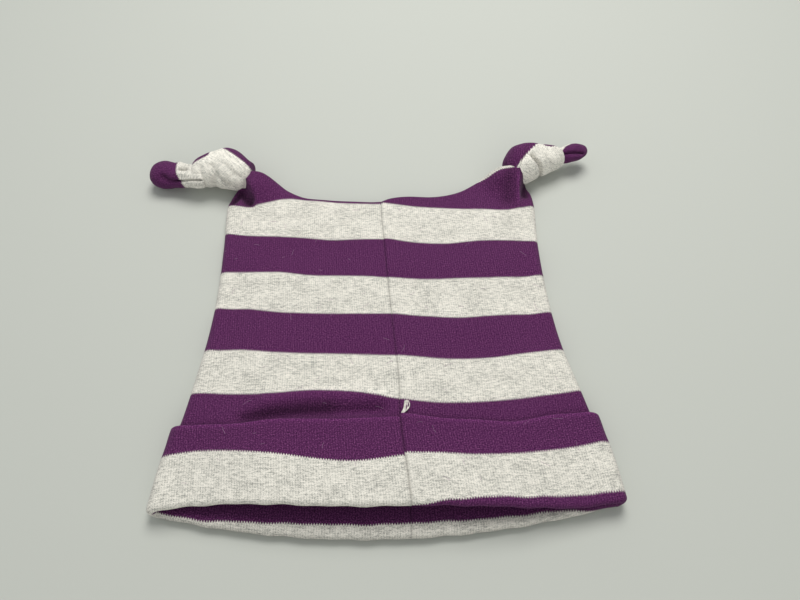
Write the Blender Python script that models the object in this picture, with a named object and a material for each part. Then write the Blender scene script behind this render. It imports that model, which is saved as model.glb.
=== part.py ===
"""A baby's nightcap of striped cotton jersey, lying flat on a table.

The cap is a bag of thin cloth, open at its mouth, with the edge turned up into a cuff. Its two top
corners are drawn out into ears, and each ear is tied in a knot with a short end sticking out.
Metres, +Z up: the cap lies on Z = 0 with its mouth towards -Y and its ears towards +Y.
"""

import math
from collections import namedtuple

import bmesh
import bpy
from mathutils import Matrix, Vector

# Sizes of the crown
CROWN_WIDTH = 0.151  # flat width, halfway up
CROWN_HEIGHT = 0.148  # from the mouth's side corners up to the shoulders
CROWN_CLOTH = 0.001  # thickness of the jersey
CROWN_LOFT = 0.0088  # outer height of the lying bag along its middle
SIDE_LOFT = 0.0064  # the same close to the side folds
MOUTH_LOFT = 0.0126  # the same at the middle of the mouth, which gapes
SEAM_LOFT = 0.0058  # the same along the top seam

# Sizes of the cuff
CUFF_DEPTH = 0.0335  # from the turned edge up to the cuff's own edge, at the middle
CUFF_CLOTH = 0.0011  # thickness of the turned-up jersey
LINING_DEPTH = 0.013  # how far the cuff's cloth runs back up inside the mouth
CUFF_SPREAD = 0.0011  # how far the cuff stands wider than the crown at each side
UPPER_LIP_REACH = 0.0015  # how far the mouth's upper edge bows out
LOWER_LIP_REACH = 0.0108  # how far its lower edge bows out
LEFT_LIP_TUCK = 0.0022  # how far the upper edge is drawn in, on its left half

# Sizes of the ears. The right ear's knot and end are shares of these, in the table of the ears.
NECK_THICKNESS = 0.009  # height of the ear where the knot grips it
KNOT_LENGTH = 0.0305  # along the ear
KNOT_WIDTH = 0.0225  # across it
KNOT_HEIGHT = 0.0190  # upwards
END_LENGTH = 0.0250  # of the ear's free end, past the knot
END_WIDTH = 0.0152
END_THICKNESS = 0.0128
END_GRIP = 0.0065  # length of the free end that is inside the knot

# Sizes of the tab that peeps out over the cuff, at the seam
TAB_LENGTH = 0.0062
TAB_WIDTH = 0.0036
TAB_CLOTH = 0.0011
TAB_GAP = 0.0016  # from the cuff's own edge up to the tab's foot

CLEARANCE = 0.0003  # between pieces that touch

# Resolution of the meshes
FLAT_STEPS = 24  # across the flat of the bag
FOLD_STEPS = 3  # round each side fold, from its edge to the flat
ROWS = 21  # up the crown, below the rounded top seam
SEAM_STEPS = 3  # round the top seam
CUFF_ROWS = 7
LINING_ROWS = 2
TURN_STEPS = 4  # round the turned edge of the cuff
KNOT_SIDES = 26
END_SIDES = 18
TAB_STEPS = 6

HALF_WIDTH = CROWN_WIDTH / 2
CUFF_LIFT = CUFF_CLOTH + CLEARANCE  # the cuff's lower layer holds the crown this far off the table
TURN_RADIUS = CROWN_CLOTH / 2 + CLEARANCE + CUFF_CLOTH / 2  # of the middle of the cuff's cloth
EDGE_RECESS = TURN_RADIUS + CUFF_CLOTH / 2  # from the cuff's turned edge in to the crown's edge

# The side folds of the crown. up is a share of CROWN_HEIGHT, left and right of HALF_WIDTH.
SideRow = namedtuple("SideRow", "up left right")
SIDES = [
    SideRow(0.00, -1.136, 1.226),
    SideRow(0.13, -1.108, 1.190),
    SideRow(0.26, -1.058, 1.125),
    SideRow(0.44, -1.018, 1.045),
    SideRow(0.62, -0.998, 1.000),
    SideRow(0.82, -1.010, 0.984),
    SideRow(1.00, -1.034, 0.994),
]

# Where the mouth's two side corners lie, as shares of CROWN_HEIGHT, and how much of its depth the
# cuff keeps at each side fold
LEFT_CORNER = -0.026
RIGHT_CORNER = 0.004
LEFT_CUFF_DEPTH = 0.83
RIGHT_CUFF_DEPTH = 0.885

# The ears in plan: across is a share of HALF_WIDTH, up of CROWN_HEIGHT. The corner is the blunt end
# of the crown inside the knot. The end leaves the knot at its own place, in its own direction.
# The rise is the height of the end's axis, a share of KNOT_HEIGHT.
Ear = namedtuple("Ear", "name corner_across corner_up knot_across knot_up knot_turn_deg knot_length "
                        "knot_girth end_across end_up end_turn_deg end_length end_girth end_rise")
EARS = [
    Ear("left", -0.970, 1.109, -1.082, 1.140, 178.0, 1.00, 1.00, -1.261, 1.100, 165.0, 1.00, 1.00, 0.337),
    Ear("right", 0.935, 1.139, 1.012, 1.173, 27.0, 1.06, 0.92, 1.200, 1.205, 17.0, 0.62, 0.70, 0.330),
]

# The last stretch of each side fold, under the knot, in the same shares
FoldPoint = namedtuple("FoldPoint", "across up")
LEFT_FOLD_END = [FoldPoint(-1.012, 1.041), FoldPoint(-0.987, 1.071)]
RIGHT_FOLD_END = [FoldPoint(0.984, 1.052), FoldPoint(0.962, 1.082)]

# The top seam between the two corners, in the same shares
SeamPoint = namedtuple("SeamPoint", "across up")
TOP_SEAM = [
    SeamPoint(-0.857, 1.107),
    SeamPoint(-0.748, 1.078),
    SeamPoint(-0.556, 1.039),
    SeamPoint(-0.397, 1.030),
    SeamPoint(-0.199, 1.023),
    SeamPoint(-0.030, 1.022),
    SeamPoint(0.040, 1.036),
    SeamPoint(0.159, 1.045),
    SeamPoint(0.331, 1.044),
    SeamPoint(0.505, 1.063),
    SeamPoint(0.641, 1.092),
    SeamPoint(0.728, 1.111),
    SeamPoint(0.821, 1.128),
]

# Dents (and, with a negative depth, swells) of the upper layer. across and width are shares of
# HALF_WIDTH, up and length of CROWN_HEIGHT, depth of CROWN_LOFT; turn_deg turns the length.
Dent = namedtuple("Dent", "name across up width length turn_deg depth")
DENTS = [
    Dent("tuck over the cuff", -0.40, 0.262, 0.330, 0.030, 4.0, 0.24),
    Dent("left ear's pleat", -0.930, 1.036, 0.044, 0.040, 8.0, 0.42),
    Dent("right ear's pleat", 0.918, 1.066, 0.036, 0.040, -6.0, 0.42),
    Dent("right ear's crease", 0.760, 1.060, 0.034, 0.060, -28.0, 0.12),
    Dent("left sag", -0.520, 0.800, 0.260, 0.060, 10.0, 0.10),
    Dent("right sag", 0.420, 0.620, 0.300, 0.070, -8.0, 0.10),
    Dent("middle swell", -0.150, 0.520, 0.420, 0.120, 0.0, -0.08),
    Dent("left ear's ridge", -0.800, 1.020, 0.080, 0.060, -40.0, -0.20),
    Dent("right ear's ridge", 0.720, 1.040, 0.080, 0.060, 38.0, -0.20),
]

# The knot along the ear's axis. along is a share of its length, wide and high of its half sizes,
# shift, to the front, of its width.
KnotRow = namedtuple("KnotRow", "along wide high shift")
KNOT = [
    KnotRow(-0.500, 0.36, 0.40, 0.17),
    KnotRow(-0.475, 0.58, 0.62, 0.16),
    KnotRow(-0.400, 0.80, 0.84, 0.12),
    KnotRow(-0.270, 0.95, 0.97, 0.06),
    KnotRow(-0.120, 1.00, 1.00, 0.01),
    KnotRow(0.030, 0.98, 0.97, 0.00),
    KnotRow(0.170, 0.89, 0.90, 0.03),
    KnotRow(0.300, 0.79, 0.81, 0.07),
    KnotRow(0.410, 0.66, 0.69, 0.10),
    KnotRow(0.475, 0.50, 0.54, 0.12),
    KnotRow(0.500, 0.34, 0.38, 0.12),
]

# The crease where one turn of the knot crosses the other: it slants round the knot.
CREASE_ALONG = 0.05  # share of the knot's length, on top of the knot
CREASE_SLANT = 0.09  # share of it that the crease moves from one side to the other
CREASE_WIDTH = 0.055  # share of it
CREASE_DEPTH = 0.11  # share of the knot's half height

# The ear's free end. along is a share of its whole length, wide and high of its half sizes.
EndRow = namedtuple("EndRow", "along wide high")
END = [
    EndRow(0.00, 0.42, 0.46),
    EndRow(0.03, 0.60, 0.64),
    EndRow(0.13, 0.70, 0.74),
    EndRow(0.26, 0.71, 0.76),
    EndRow(0.40, 0.75, 0.80),
    EndRow(0.53, 0.83, 0.86),
    EndRow(0.66, 0.96, 0.96),
    EndRow(0.78, 1.00, 1.00),
    EndRow(0.88, 0.92, 0.90),
    EndRow(0.95, 0.70, 0.70),
    EndRow(0.985, 0.44, 0.46),
    EndRow(1.00, 0.18, 0.20),
]

# Where the tab stands beside the middle of the crown, and its lean to the right
TAB_ACROSS = 0.075  # share of HALF_WIDTH
TAB_LEAN_DEG = -14.0


def clear_scene():
    for found in list(bpy.data.objects):
        bpy.data.objects.remove(found)


def smooth(share):
    """0 to 1 with level ends."""
    held = min(1.0, max(0.0, share))
    return held * held * (3 - 2 * held)


def mix(first, second, share):
    return first + (second - first) * share


def curve_at(knots, values, position):
    """A smooth curve through values at the rising knots (Catmull-Rom), read at position."""
    last = len(knots) - 1
    span = 0
    while span < last - 1 and position > knots[span + 1]:
        span += 1

    def slope(index):
        low, high = max(0, index - 1), min(last, index + 1)
        return (values[high] - values[low]) / (knots[high] - knots[low])

    width = knots[span + 1] - knots[span]
    t = (position - knots[span]) / width
    a, b = values[span], values[span + 1]
    da, db = slope(span) * width, slope(span + 1) * width
    return (
        a * (2 * t**3 - 3 * t**2 + 1)
        + da * (t**3 - 2 * t**2 + t)
        + b * (3 * t**2 - 2 * t**3)
        + db * (t**3 - t**2)
    )


def path_at(points, share):
    """A point on the smooth path through points, at a share of its length."""
    run = [0.0]
    for before, after in zip(points, points[1:]):
        run.append(run[-1] + (after - before).length)
    knots = [step / run[-1] for step in run]
    return Vector([curve_at(knots, [p[axis] for p in points], share) for axis in range(2)])


def plan(across, up):
    """A point of the plan from its shares of the crown's half width and height."""
    return Vector((across * HALF_WIDTH, up * CROWN_HEIGHT))


def crown_corner(ear):
    return plan(ear.corner_across, ear.corner_up)


def side_points(ear, corner_up, fold_end):
    """The side fold from the mouth's corner to the blunt end inside the knot, in plan."""
    points = []
    for row in SIDES:
        across = row.left if ear.name == "left" else row.right
        points.append(plan(across, mix(corner_up, 1.0, row.up)))
    points[0].y += EDGE_RECESS
    points += [plan(p.across, p.up) for p in fold_end]
    return points + [crown_corner(ear)]


LEFT_SIDE = side_points(EARS[0], LEFT_CORNER, LEFT_FOLD_END)
RIGHT_SIDE = side_points(EARS[1], RIGHT_CORNER, RIGHT_FOLD_END)
SEAM = [LEFT_SIDE[-1]] + [plan(p.across, p.up) for p in TOP_SEAM] + [RIGHT_SIDE[-1]]


def mouth_point(across, upper):
    """The crown's own edge at the mouth. The lower layer bows out further than the upper one."""
    share = (across + 1) / 2
    bow = 1 - across * across
    point = LEFT_SIDE[0].lerp(RIGHT_SIDE[0], share)
    point.y -= bow * (UPPER_LIP_REACH if upper else LOWER_LIP_REACH)
    if upper and across < 0:
        point.y += 4 * bow * (1 - bow) * LEFT_LIP_TUCK
    return point


def plan_point(across, up, upper):
    """The patch that fills the crown's outline: across runs -1 to 1, up runs 0 (mouth) to 1 (top seam)."""
    share = (across + 1) / 2
    mouth, seam = mouth_point(across, upper), path_at(SEAM, share)
    left, right = path_at(LEFT_SIDE, up), path_at(RIGHT_SIDE, up)
    corners = (
        LEFT_SIDE[0] * (1 - share) * (1 - up)
        + RIGHT_SIDE[0] * share * (1 - up)
        + LEFT_SIDE[-1] * (1 - share) * up
        + RIGHT_SIDE[-1] * share * up
    )
    return mouth * (1 - up) + seam * up + left * (1 - share) + right * share - corners


def knot_rise(ear):
    """Height of the knot's axis: the knot lies on the table."""
    return KNOT_HEIGHT * ear.knot_girth / 2


def ear_closeness(point):
    """0 over the body, rising to 1 in the neck of either ear."""
    start, full = 0.34 * HALF_WIDTH, 0.13 * HALF_WIDTH
    nearest = min((point - crown_corner(ear)).length for ear in EARS)
    return smooth((start - nearest) / (start - full))


def loft_at(point, across, up):
    """Outer height of the lying bag, before its edges are rounded."""
    middle = curve_at([0.0, 0.14, 0.30, 0.55, 0.85, 1.0],
                      [MOUTH_LOFT, mix(MOUTH_LOFT, CROWN_LOFT, 0.3), CROWN_LOFT, CROWN_LOFT,
                       mix(CROWN_LOFT, SEAM_LOFT, 0.3), SEAM_LOFT], up)
    body = mix(middle, SIDE_LOFT, smooth(abs(across)) ** 3)
    return mix(body, NECK_THICKNESS, ear_closeness(point))


def floor_at(point, up):
    """Height of the crown's underside: on the cuff, on the table, or lifted into a knot."""
    cuff_end = 1.5 * CUFF_DEPTH / CROWN_HEIGHT
    lift = CUFF_LIFT * (1 - smooth((up - cuff_end / 1.4) / (cuff_end * 0.6)))
    ear = EARS[0] if point.x < 0 else EARS[1]
    return mix(lift, knot_rise(ear) - NECK_THICKNESS / 2, ear_closeness(point))


def dent_at(point):
    """How far the upper layer dips at a point of the plan."""
    depth = 0.0
    for dent in DENTS:
        away = point - plan(dent.across, dent.up)
        turn = math.radians(dent.turn_deg)
        width = away.x * math.cos(turn) + away.y * math.sin(turn)
        length = away.y * math.cos(turn) - away.x * math.sin(turn)
        spread = (width / (dent.width * HALF_WIDTH)) ** 2 + (length / (dent.length * CROWN_HEIGHT)) ** 2
        depth += dent.depth * CROWN_LOFT * math.exp(-spread)
    return depth


def loop_columns():
    """The stations round a section, from the right fold over the top to the left and back below.

    Each is (edge side, fold angle, flat share, upper). At a fold angle of 90 degrees the section is flat."""
    angles = [90.0 * step / FOLD_STEPS for step in range(FOLD_STEPS)]
    even = [1 - 2 * step / FLAT_STEPS for step in range(FLAT_STEPS + 1)]
    flats = [mix(place, math.sin(math.pi / 2 * place), 0.7) for place in even]
    upper = [(1, angle, 1.0, True) for angle in angles]
    upper += [(0, 90.0, flat, True) for flat in flats]
    upper += [(-1, angle, -1.0, True) for angle in reversed(angles)]
    lower = [(side, angle, flat, False) for side, angle, flat, _ in reversed(upper[1:-1])]
    return upper, lower


UPPER_COLUMNS, LOWER_COLUMNS = loop_columns()


def skin_point(column, up, round_deg=90.0, outward=0.0, dented=True):
    """A point of the crown's outer skin, moved outward by a distance.

    round_deg falls from 90 to 0 where the top seam rounds the bag off."""
    side, angle_deg, flat, upper = column
    angle = math.radians(angle_deg)
    rim = plan_point(1.0 if flat > 0 else -1.0, up, upper)
    radius = loft_at(rim, 1.0, up) / 2
    half = (path_at(RIGHT_SIDE, up) - path_at(LEFT_SIDE, up)).length / 2
    inset = min(0.5, radius / half)
    across = flat * (1 - inset)
    if side:
        across = side * (1 - inset * (1 - math.cos(angle)))
    point = plan_point(across, up, upper)
    half_loft = loft_at(point, across, up) / 2
    middle = floor_at(point, up) + half_loft
    rise = math.sin(angle) * math.sin(math.radians(round_deg))
    height = half_loft * rise
    if upper and dented:
        height -= dent_at(point) * rise
    height += outward * math.sin(angle)
    point.x += side * outward * math.cos(angle)
    return Vector((point.x, point.y, middle + (height if upper else -height)))


def crown_rows():
    """(up, round_deg) of each row of the crown, from the mouth to the last before the top seam."""
    edge = SEAM_LOFT / 2 / CROWN_HEIGHT
    rows = []
    for step in range(ROWS + 1):
        even = step / ROWS
        rows.append(((1 - edge) * mix(even, math.sin(math.pi / 2 * even), 0.35), 90.0))
    for step in range(1, SEAM_STEPS):
        angle = 90.0 * (1 - step / SEAM_STEPS)
        rows.append((1 - edge * (1 - math.cos(math.radians(angle))), angle))
    return rows


def crown_grid(outward=0.0):
    """The crown's outer skin: its rows of points and the closing line along the top seam."""
    columns = UPPER_COLUMNS + LOWER_COLUMNS
    rows = [[skin_point(c, up, turn, outward) for c in columns] for up, turn in crown_rows()]
    line = [skin_point(c, 1.0, 0.0) for c in UPPER_COLUMNS[1:-1]]
    return rows, line


def new_object(name, mesh, material):
    made = bpy.data.objects.new(name, mesh)
    bpy.context.scene.collection.objects.link(made)
    if material:
        mesh.materials.append(material)
    mesh.shade_smooth()
    mesh.set_sharp_from_angle(angle=math.radians(50))
    return made


def mesh_from(name, bm):
    """Turns the faces outwards and makes the mesh.

    Its triangles are fixed here, so that a seat cut with a swollen copy has the same facets."""
    bmesh.ops.triangulate(bm, faces=bm.faces, quad_method="FIXED")
    bmesh.ops.recalc_face_normals(bm, faces=bm.faces)
    if bm.calc_volume(signed=True) < 0:
        bmesh.ops.reverse_faces(bm, faces=bm.faces)
    mesh = bpy.data.meshes.new(name)
    bm.to_mesh(mesh)
    bm.free()
    return mesh


def new_face(bm, corners):
    """A face over its corners, of which two may be the same."""
    bm.faces.new([v for k, v in enumerate(corners) if v not in corners[:k]])


def bag_mesh(name, rows, line, capped):
    """Faces over the crown's rows, closed along the top seam and, if capped, across the mouth."""
    bm = bmesh.new()
    rings = [[bm.verts.new(p) for p in row] for row in rows]
    top = [bm.verts.new(p) for p in line]
    around, upper = len(rings[0]), len(top)
    for low, high in zip(rings, rings[1:]):
        for i in range(around):
            j = (i + 1) % around
            bm.faces.new((low[i], low[j], high[j], high[i]))
    last = rings[-1]
    top = [last[0]] + top + [last[upper + 1]]
    closing = top + top[-2:0:-1]
    for i in range(around):
        j = (i + 1) % around
        new_face(bm, [last[i], last[j], closing[j], closing[i]])
    if capped:
        mouth = rings[0]
        for i in range(upper + 1):
            new_face(bm, [mouth[i], mouth[i + 1], mouth[around - i - 1], mouth[(around - i) % around]])
    return mesh_from(name, bm)


def jersey(name, colour, roughness=0.92):
    """A cotton jersey: matt, with no metal in it. The colour is linear."""
    material = bpy.data.materials.new(name)
    material.use_nodes = True
    shader = material.node_tree.nodes["Principled BSDF"]
    shader.inputs["Base Color"].default_value = (*colour, 1.0)
    shader.inputs["Roughness"].default_value = roughness
    shader.inputs["Metallic"].default_value = 0.0
    material.diffuse_color = (*colour, 1.0)
    return material


def thicken(made, thickness, offset):
    modifier = made.modifiers.new("cloth", "SOLIDIFY")
    modifier.thickness = thickness
    modifier.offset = offset
    modifier.use_even_offset = False
    return modifier


def make_crown(material):
    """The striped bag: its outer skin, given the thickness of the jersey inwards."""
    rows, line = crown_grid()
    crown = new_object("crown", bag_mesh("crown", rows, line, capped=False), material)
    thicken(crown, CROWN_CLOTH, -1.0)
    return crown


def helper(name, mesh):
    made = bpy.data.objects.new(name, mesh)
    bpy.context.scene.collection.objects.link(made)
    made.hide_render = True
    made.display_type = "WIRE"
    return made


def grown(name, mesh, distance):
    """A copy of a closed mesh, swollen by a distance along its normals, to cut a seat with."""
    copy = mesh.copy()
    copy.name = name
    for vertex, normal in zip(copy.vertices, mesh.vertex_normals):
        vertex.co = vertex.co + normal.vector * distance
    return helper(name, copy)


def make_cuff(material):
    """The turned-up edge: up the outside to its own edge, and back up the inside as a short lining."""
    columns = UPPER_COLUMNS + LOWER_COLUMNS
    inside = LINING_DEPTH / CROWN_HEIGHT
    crown_middle = -CROWN_CLOTH / 2
    rows = []
    for step in range(CUFF_ROWS, 0, -1):
        share = step / CUFF_ROWS
        row = [cuff_point(c, share * cuff_top(c), crown_middle + TURN_RADIUS, share) for c in columns]
        rows.append(row)
    for step in range(TURN_STEPS + 1):
        turn = math.pi * step / TURN_STEPS
        row = []
        for column in columns:
            point = cuff_point(column, 0.0, crown_middle + TURN_RADIUS * math.cos(turn), 0.0)
            point.y -= TURN_RADIUS * math.sin(turn)
            row.append(point)
        rows.append(row)
    for step in range(1, LINING_ROWS + 1):
        up = inside * step / LINING_ROWS
        rows.append([cuff_point(c, up, crown_middle - TURN_RADIUS, 0.0) for c in columns])
    bm = bmesh.new()
    rings = [[bm.verts.new(p) for p in row] for row in rows]
    for high, low in zip(rings, rings[1:]):
        for i in range(len(columns)):
            j = (i + 1) % len(columns)
            bm.faces.new((low[i], low[j], high[j], high[i]))
    mesh = mesh_from("cuff", bm)
    cuff = new_object("cuff", mesh, material)
    thicken(cuff, CUFF_CLOTH, 0.0)
    return cuff


def cuff_top(column):
    """How far up the crown the cuff's own edge lies: a little less at the side folds."""
    flat = column[2]
    kept = LEFT_CUFF_DEPTH if flat < 0 else RIGHT_CUFF_DEPTH
    return CUFF_DEPTH / CROWN_HEIGHT * mix(1.0, kept, flat * flat)


def cuff_point(column, up, outward, spread):
    """A point of the middle of the cuff's cloth. It stands a little wider than the crown at its sides."""
    point = skin_point(column, up, outward=outward, dented=False)
    side, angle_deg, _, _ = column
    point.x += side * CUFF_SPREAD * spread * math.cos(math.radians(angle_deg))
    return point


def loft_mesh(name, sections):
    """A closed skin over rings of points, with a flat end at each side."""
    bm = bmesh.new()
    rings = [[bm.verts.new(p) for p in section] for section in sections]
    for first, second in zip(rings, rings[1:]):
        for i in range(len(first)):
            j = (i + 1) % len(first)
            bm.faces.new((first[i], first[j], second[j], second[i]))
    bm.faces.new(rings[0])
    bm.faces.new(list(reversed(rings[-1])))
    return mesh_from(name, bm)


def knot_sections(ear):
    """Rings round the knot, with the slanting crease between its two turns pressed in."""
    length, width = KNOT_LENGTH * ear.knot_length, KNOT_WIDTH * ear.knot_girth
    centre = plan(ear.knot_across, ear.knot_up)
    place = Matrix.Translation((centre.x, centre.y, knot_rise(ear)))
    place = place @ Matrix.Rotation(math.radians(ear.knot_turn_deg), 4, "Z")
    front = 1 if ear.name == "left" else -1
    sections = []
    for row in KNOT:
        ring = []
        for step in range(KNOT_SIDES):
            angle = 2 * math.pi * step / KNOT_SIDES
            to_front = math.cos(angle) * front
            from_crease = (row.along - CREASE_ALONG - CREASE_SLANT * to_front) / CREASE_WIDTH
            pressed = 1 - CREASE_DEPTH * math.exp(-from_crease * from_crease)
            x = row.along * length
            y = math.cos(angle) * row.wide * pressed * width / 2 + row.shift * width * front
            z = math.sin(angle) * row.high * pressed * knot_rise(ear)
            ring.append(place @ Vector((x, y, z)))
        sections.append(ring)
    return sections


def end_sections(ear):
    """Rings along the ear's free end, from its root inside the knot to its rounded point."""
    whole = END_GRIP + END_LENGTH * ear.end_length
    leaves = plan(ear.end_across, ear.end_up)
    place = Matrix.Translation((leaves.x, leaves.y, knot_rise(ear)))
    place = place @ Matrix.Rotation(math.radians(ear.end_turn_deg), 4, "Z")
    droop = KNOT_HEIGHT * ear.end_rise - knot_rise(ear)
    sections = []
    for row in END:
        x = row.along * whole - END_GRIP
        ring = []
        for step in range(END_SIDES):
            angle = 2 * math.pi * step / END_SIDES
            y = math.cos(angle) * row.wide * END_WIDTH * ear.end_girth / 2
            z = math.sin(angle) * row.high * END_THICKNESS * ear.end_girth / 2
            ring.append(place @ Vector((x, y, z + droop * smooth(1.3 * row.along))))
        sections.append(ring)
    return sections


def cut_away(made, cutter):
    modifier = made.modifiers.new("seat", "BOOLEAN")
    modifier.operation = "DIFFERENCE"
    modifier.object = cutter
    return modifier


def make_ear(ear, neck_cutter, knot_material, end_material):
    """The free end and the knot, which is cut out where it grips the end and the crown's corner."""
    end_mesh = loft_mesh(ear.name + "_ear_tip", end_sections(ear))
    end = new_object(ear.name + "_ear_tip", end_mesh, end_material)
    knot_mesh = loft_mesh(ear.name + "_knot", knot_sections(ear))
    knot = new_object(ear.name + "_knot", knot_mesh, knot_material)
    cut_away(knot, neck_cutter)
    cut_away(knot, grown(ear.name + "_end_cutter", end_mesh, CLEARANCE))
    return knot, end


def make_tab(material):
    """The scrap of seam that stands out above the cuff: a small curled tab on the crown."""
    column = (0, 90.0, TAB_ACROSS, True)
    foot_up = cuff_top(column) + TAB_GAP / CROWN_HEIGHT
    foot = skin_point(column, foot_up)
    along = (skin_point(column, foot_up + TAB_LENGTH / CROWN_HEIGHT) - foot).normalized()
    side = Vector((1, 0, 0))
    upwards = side.cross(along).normalized()
    lean = math.radians(TAB_LEAN_DEG)
    run = along * math.cos(lean) - side * math.sin(lean)
    over = run.cross(upwards)
    outline = ((-0.5, -0.5), (0.5, -0.5), (0.5, 0.5), (0.0, 0.72), (-0.5, 0.5))
    sections = []
    for step in range(TAB_STEPS + 1):
        share = step / TAB_STEPS
        width = TAB_WIDTH * mix(0.4, 1.0, math.sin(math.pi * (0.08 + 0.75 * share)))
        centre = foot + run * (share * TAB_LENGTH) + upwards * (1.2 * CLEARANCE + TAB_CLOTH / 2)
        curl = 0.25 * TAB_CLOTH * math.sin(math.pi * share)
        ring = [centre + over * (x * width) + upwards * (z * TAB_CLOTH + curl) for x, z in outline]
        sections.append(ring)
    return new_object("seam_tab", loft_mesh("seam_tab", sections), material)


def centre_on_footprint(objects):
    """Moves everything so that the origin is at the middle of the footprint, on the table."""
    graph = bpy.context.evaluated_depsgraph_get()
    corners = [obj.evaluated_get(graph).matrix_world @ Vector(corner)
               for obj in objects for corner in obj.evaluated_get(graph).bound_box]
    low = [min(c[axis] for c in corners) for axis in range(3)]
    high = [max(c[axis] for c in corners) for axis in range(3)]
    shift = Vector((-(low[0] + high[0]) / 2, -(low[1] + high[1]) / 2, -low[2]))
    for obj in bpy.data.objects:
        obj.location += shift


def main():
    clear_scene()
    purple = jersey("purple_jersey", (0.105, 0.026, 0.115))
    marl = jersey("grey_marl_jersey", (0.60, 0.59, 0.54))
    crown = make_crown(purple)
    cuff = make_cuff(marl)
    rows, line = crown_grid()
    neck_mesh = bag_mesh("neck", rows, line, capped=True)
    neck_cutter = grown("neck_cutter", neck_mesh, CLEARANCE)
    pieces = [crown, cuff, make_tab(marl)]
    for ear in EARS:
        pieces += make_ear(ear, neck_cutter, marl, purple)
    bpy.context.view_layer.update()
    centre_on_footprint(pieces)


main()
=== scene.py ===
# %% [markdown]
# A baby's nightcap in striped cotton jersey, dressed for its picture.
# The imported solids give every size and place. They are plain, so this lesson makes the cloth that
# stands for them: the same cap, in meshes fine enough for pleats, a seam groove and a rolled hem.

import math
from collections import namedtuple

import bmesh
import bpy
import numpy as np
from mathutils import Matrix, Vector
from mathutils.bvhtree import BVHTree


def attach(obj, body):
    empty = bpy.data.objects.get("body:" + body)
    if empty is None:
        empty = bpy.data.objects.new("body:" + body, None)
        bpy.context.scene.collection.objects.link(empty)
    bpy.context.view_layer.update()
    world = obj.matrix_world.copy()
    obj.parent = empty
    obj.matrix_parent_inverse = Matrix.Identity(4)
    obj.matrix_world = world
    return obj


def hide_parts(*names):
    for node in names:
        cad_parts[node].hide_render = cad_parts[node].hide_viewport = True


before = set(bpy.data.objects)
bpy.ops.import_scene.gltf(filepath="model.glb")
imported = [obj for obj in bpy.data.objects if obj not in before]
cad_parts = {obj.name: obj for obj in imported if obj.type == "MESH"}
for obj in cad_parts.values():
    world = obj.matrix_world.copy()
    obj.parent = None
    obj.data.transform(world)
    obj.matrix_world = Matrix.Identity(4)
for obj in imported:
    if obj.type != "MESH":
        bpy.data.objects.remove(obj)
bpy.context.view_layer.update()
print("solids:", sorted(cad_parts))

# %% [markdown]
# Lengths are written in millimetres and multiplied by MM, because Blender and the frame use metres.
# Colours are written as sRGB hex, the way a picture editor shows them. Shaders want linear light, so
# one function turns each hex value to linear.

# %% Units, colours and small helpers
MM = 0.001


def linear(hex_colour):
    """(r, g, b, 1) in linear light from an sRGB hex colour such as "#8A4F7D"."""
    parts = [int(hex_colour[i:i + 2], 16) / 255 for i in (1, 3, 5)]
    light = [p / 12.92 if p <= 0.04045 else ((p + 0.055) / 1.055) ** 2.4 for p in parts]
    return (*light, 1.0)


def mix(first, second, share):
    return first + (second - first) * share


def smooth(share):
    """0 to 1 with level ends, for numbers and for whole arrays."""
    held = np.clip(share, 0.0, 1.0)
    return held * held * (3 - 2 * held)


def bell(distance, width):
    """1 at no distance, falling softly to 0 beyond the width."""
    return np.exp(-((distance / width) ** 2))


def add_node(tree, kind, settings=None, links=None):
    """One shader node. settings fills its attributes and sockets, links joins sockets to outputs."""
    node = tree.nodes.new(kind)
    for key, value in (settings or {}).items():
        if isinstance(key, int) or key in node.inputs:
            node.inputs[key].default_value = value
        else:
            setattr(node, key, value)
    for key, output in (links or {}).items():
        tree.links.new(output, node.inputs[key])
    return node


def plain_material(name, colour, roughness):
    material = bpy.data.materials.new(name)
    material.use_nodes = True
    shader = material.node_tree.nodes["Principled BSDF"]
    shader.inputs["Base Color"].default_value = linear(colour)
    shader.inputs["Roughness"].default_value = roughness
    return material


def add_object(name, data):
    obj = bpy.data.objects.new(name, data)
    bpy.context.scene.collection.objects.link(obj)
    return obj


print("purple in linear light:", [round(c, 4) for c in linear("#5A2C5E")])

# %% [markdown]
# The camera stands where the photo was taken from: in front of the mouth, looking down at 57 degrees.
# A phone at arm's length gives that wide view. The aim is the point of the table in the middle of the
# picture, and the camera backs away from it along the line of sight.

# %% Camera
AIM = Vector((14.986, 7.88, 0.0)) * MM
CAMERA_DISTANCE = 305.5 * MM
CAMERA_PITCH = math.radians(57)
LENS_MM = 29.79

camera_data = bpy.data.cameras.new("camera")
camera_data.lens = LENS_MM
camera_data.sensor_width = 36
camera_data.clip_start = 0.01
camera = add_object("camera", camera_data)
camera.location = AIM + CAMERA_DISTANCE * Vector((0, -math.cos(CAMERA_PITCH), math.sin(CAMERA_PITCH)))
camera.rotation_euler = (math.pi / 2 - CAMERA_PITCH, 0, 0)
bpy.context.scene.camera = camera
print("camera at, mm:", [round(v / MM, 1) for v in camera.location])

# %% [markdown]
# The table is a plain pale sheet. Most of the light comes from above and well behind the cap, as the
# soft shadows in front of its near edges show, so a large lamp hangs there. A weaker lamp in front is
# the light that the walls throw back, and one on the left is a window. A pale world fills the shadows
# in. The view transform is Standard, so that a hex colour stays itself.

# %% Table and light
TABLE_HALF = 2.0  # metres
table_mesh = bpy.data.meshes.new("table")
table_corners = [(x * TABLE_HALF, y * TABLE_HALF, 0) for x, y in ((-1, -1), (1, -1), (1, 1), (-1, 1))]
table_mesh.from_pydata(table_corners, [], [(0, 1, 2, 3)])
table_mesh.materials.append(plain_material("matt painted board", "#BEC1BC", 0.75))
table = add_object("table", table_mesh)


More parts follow.
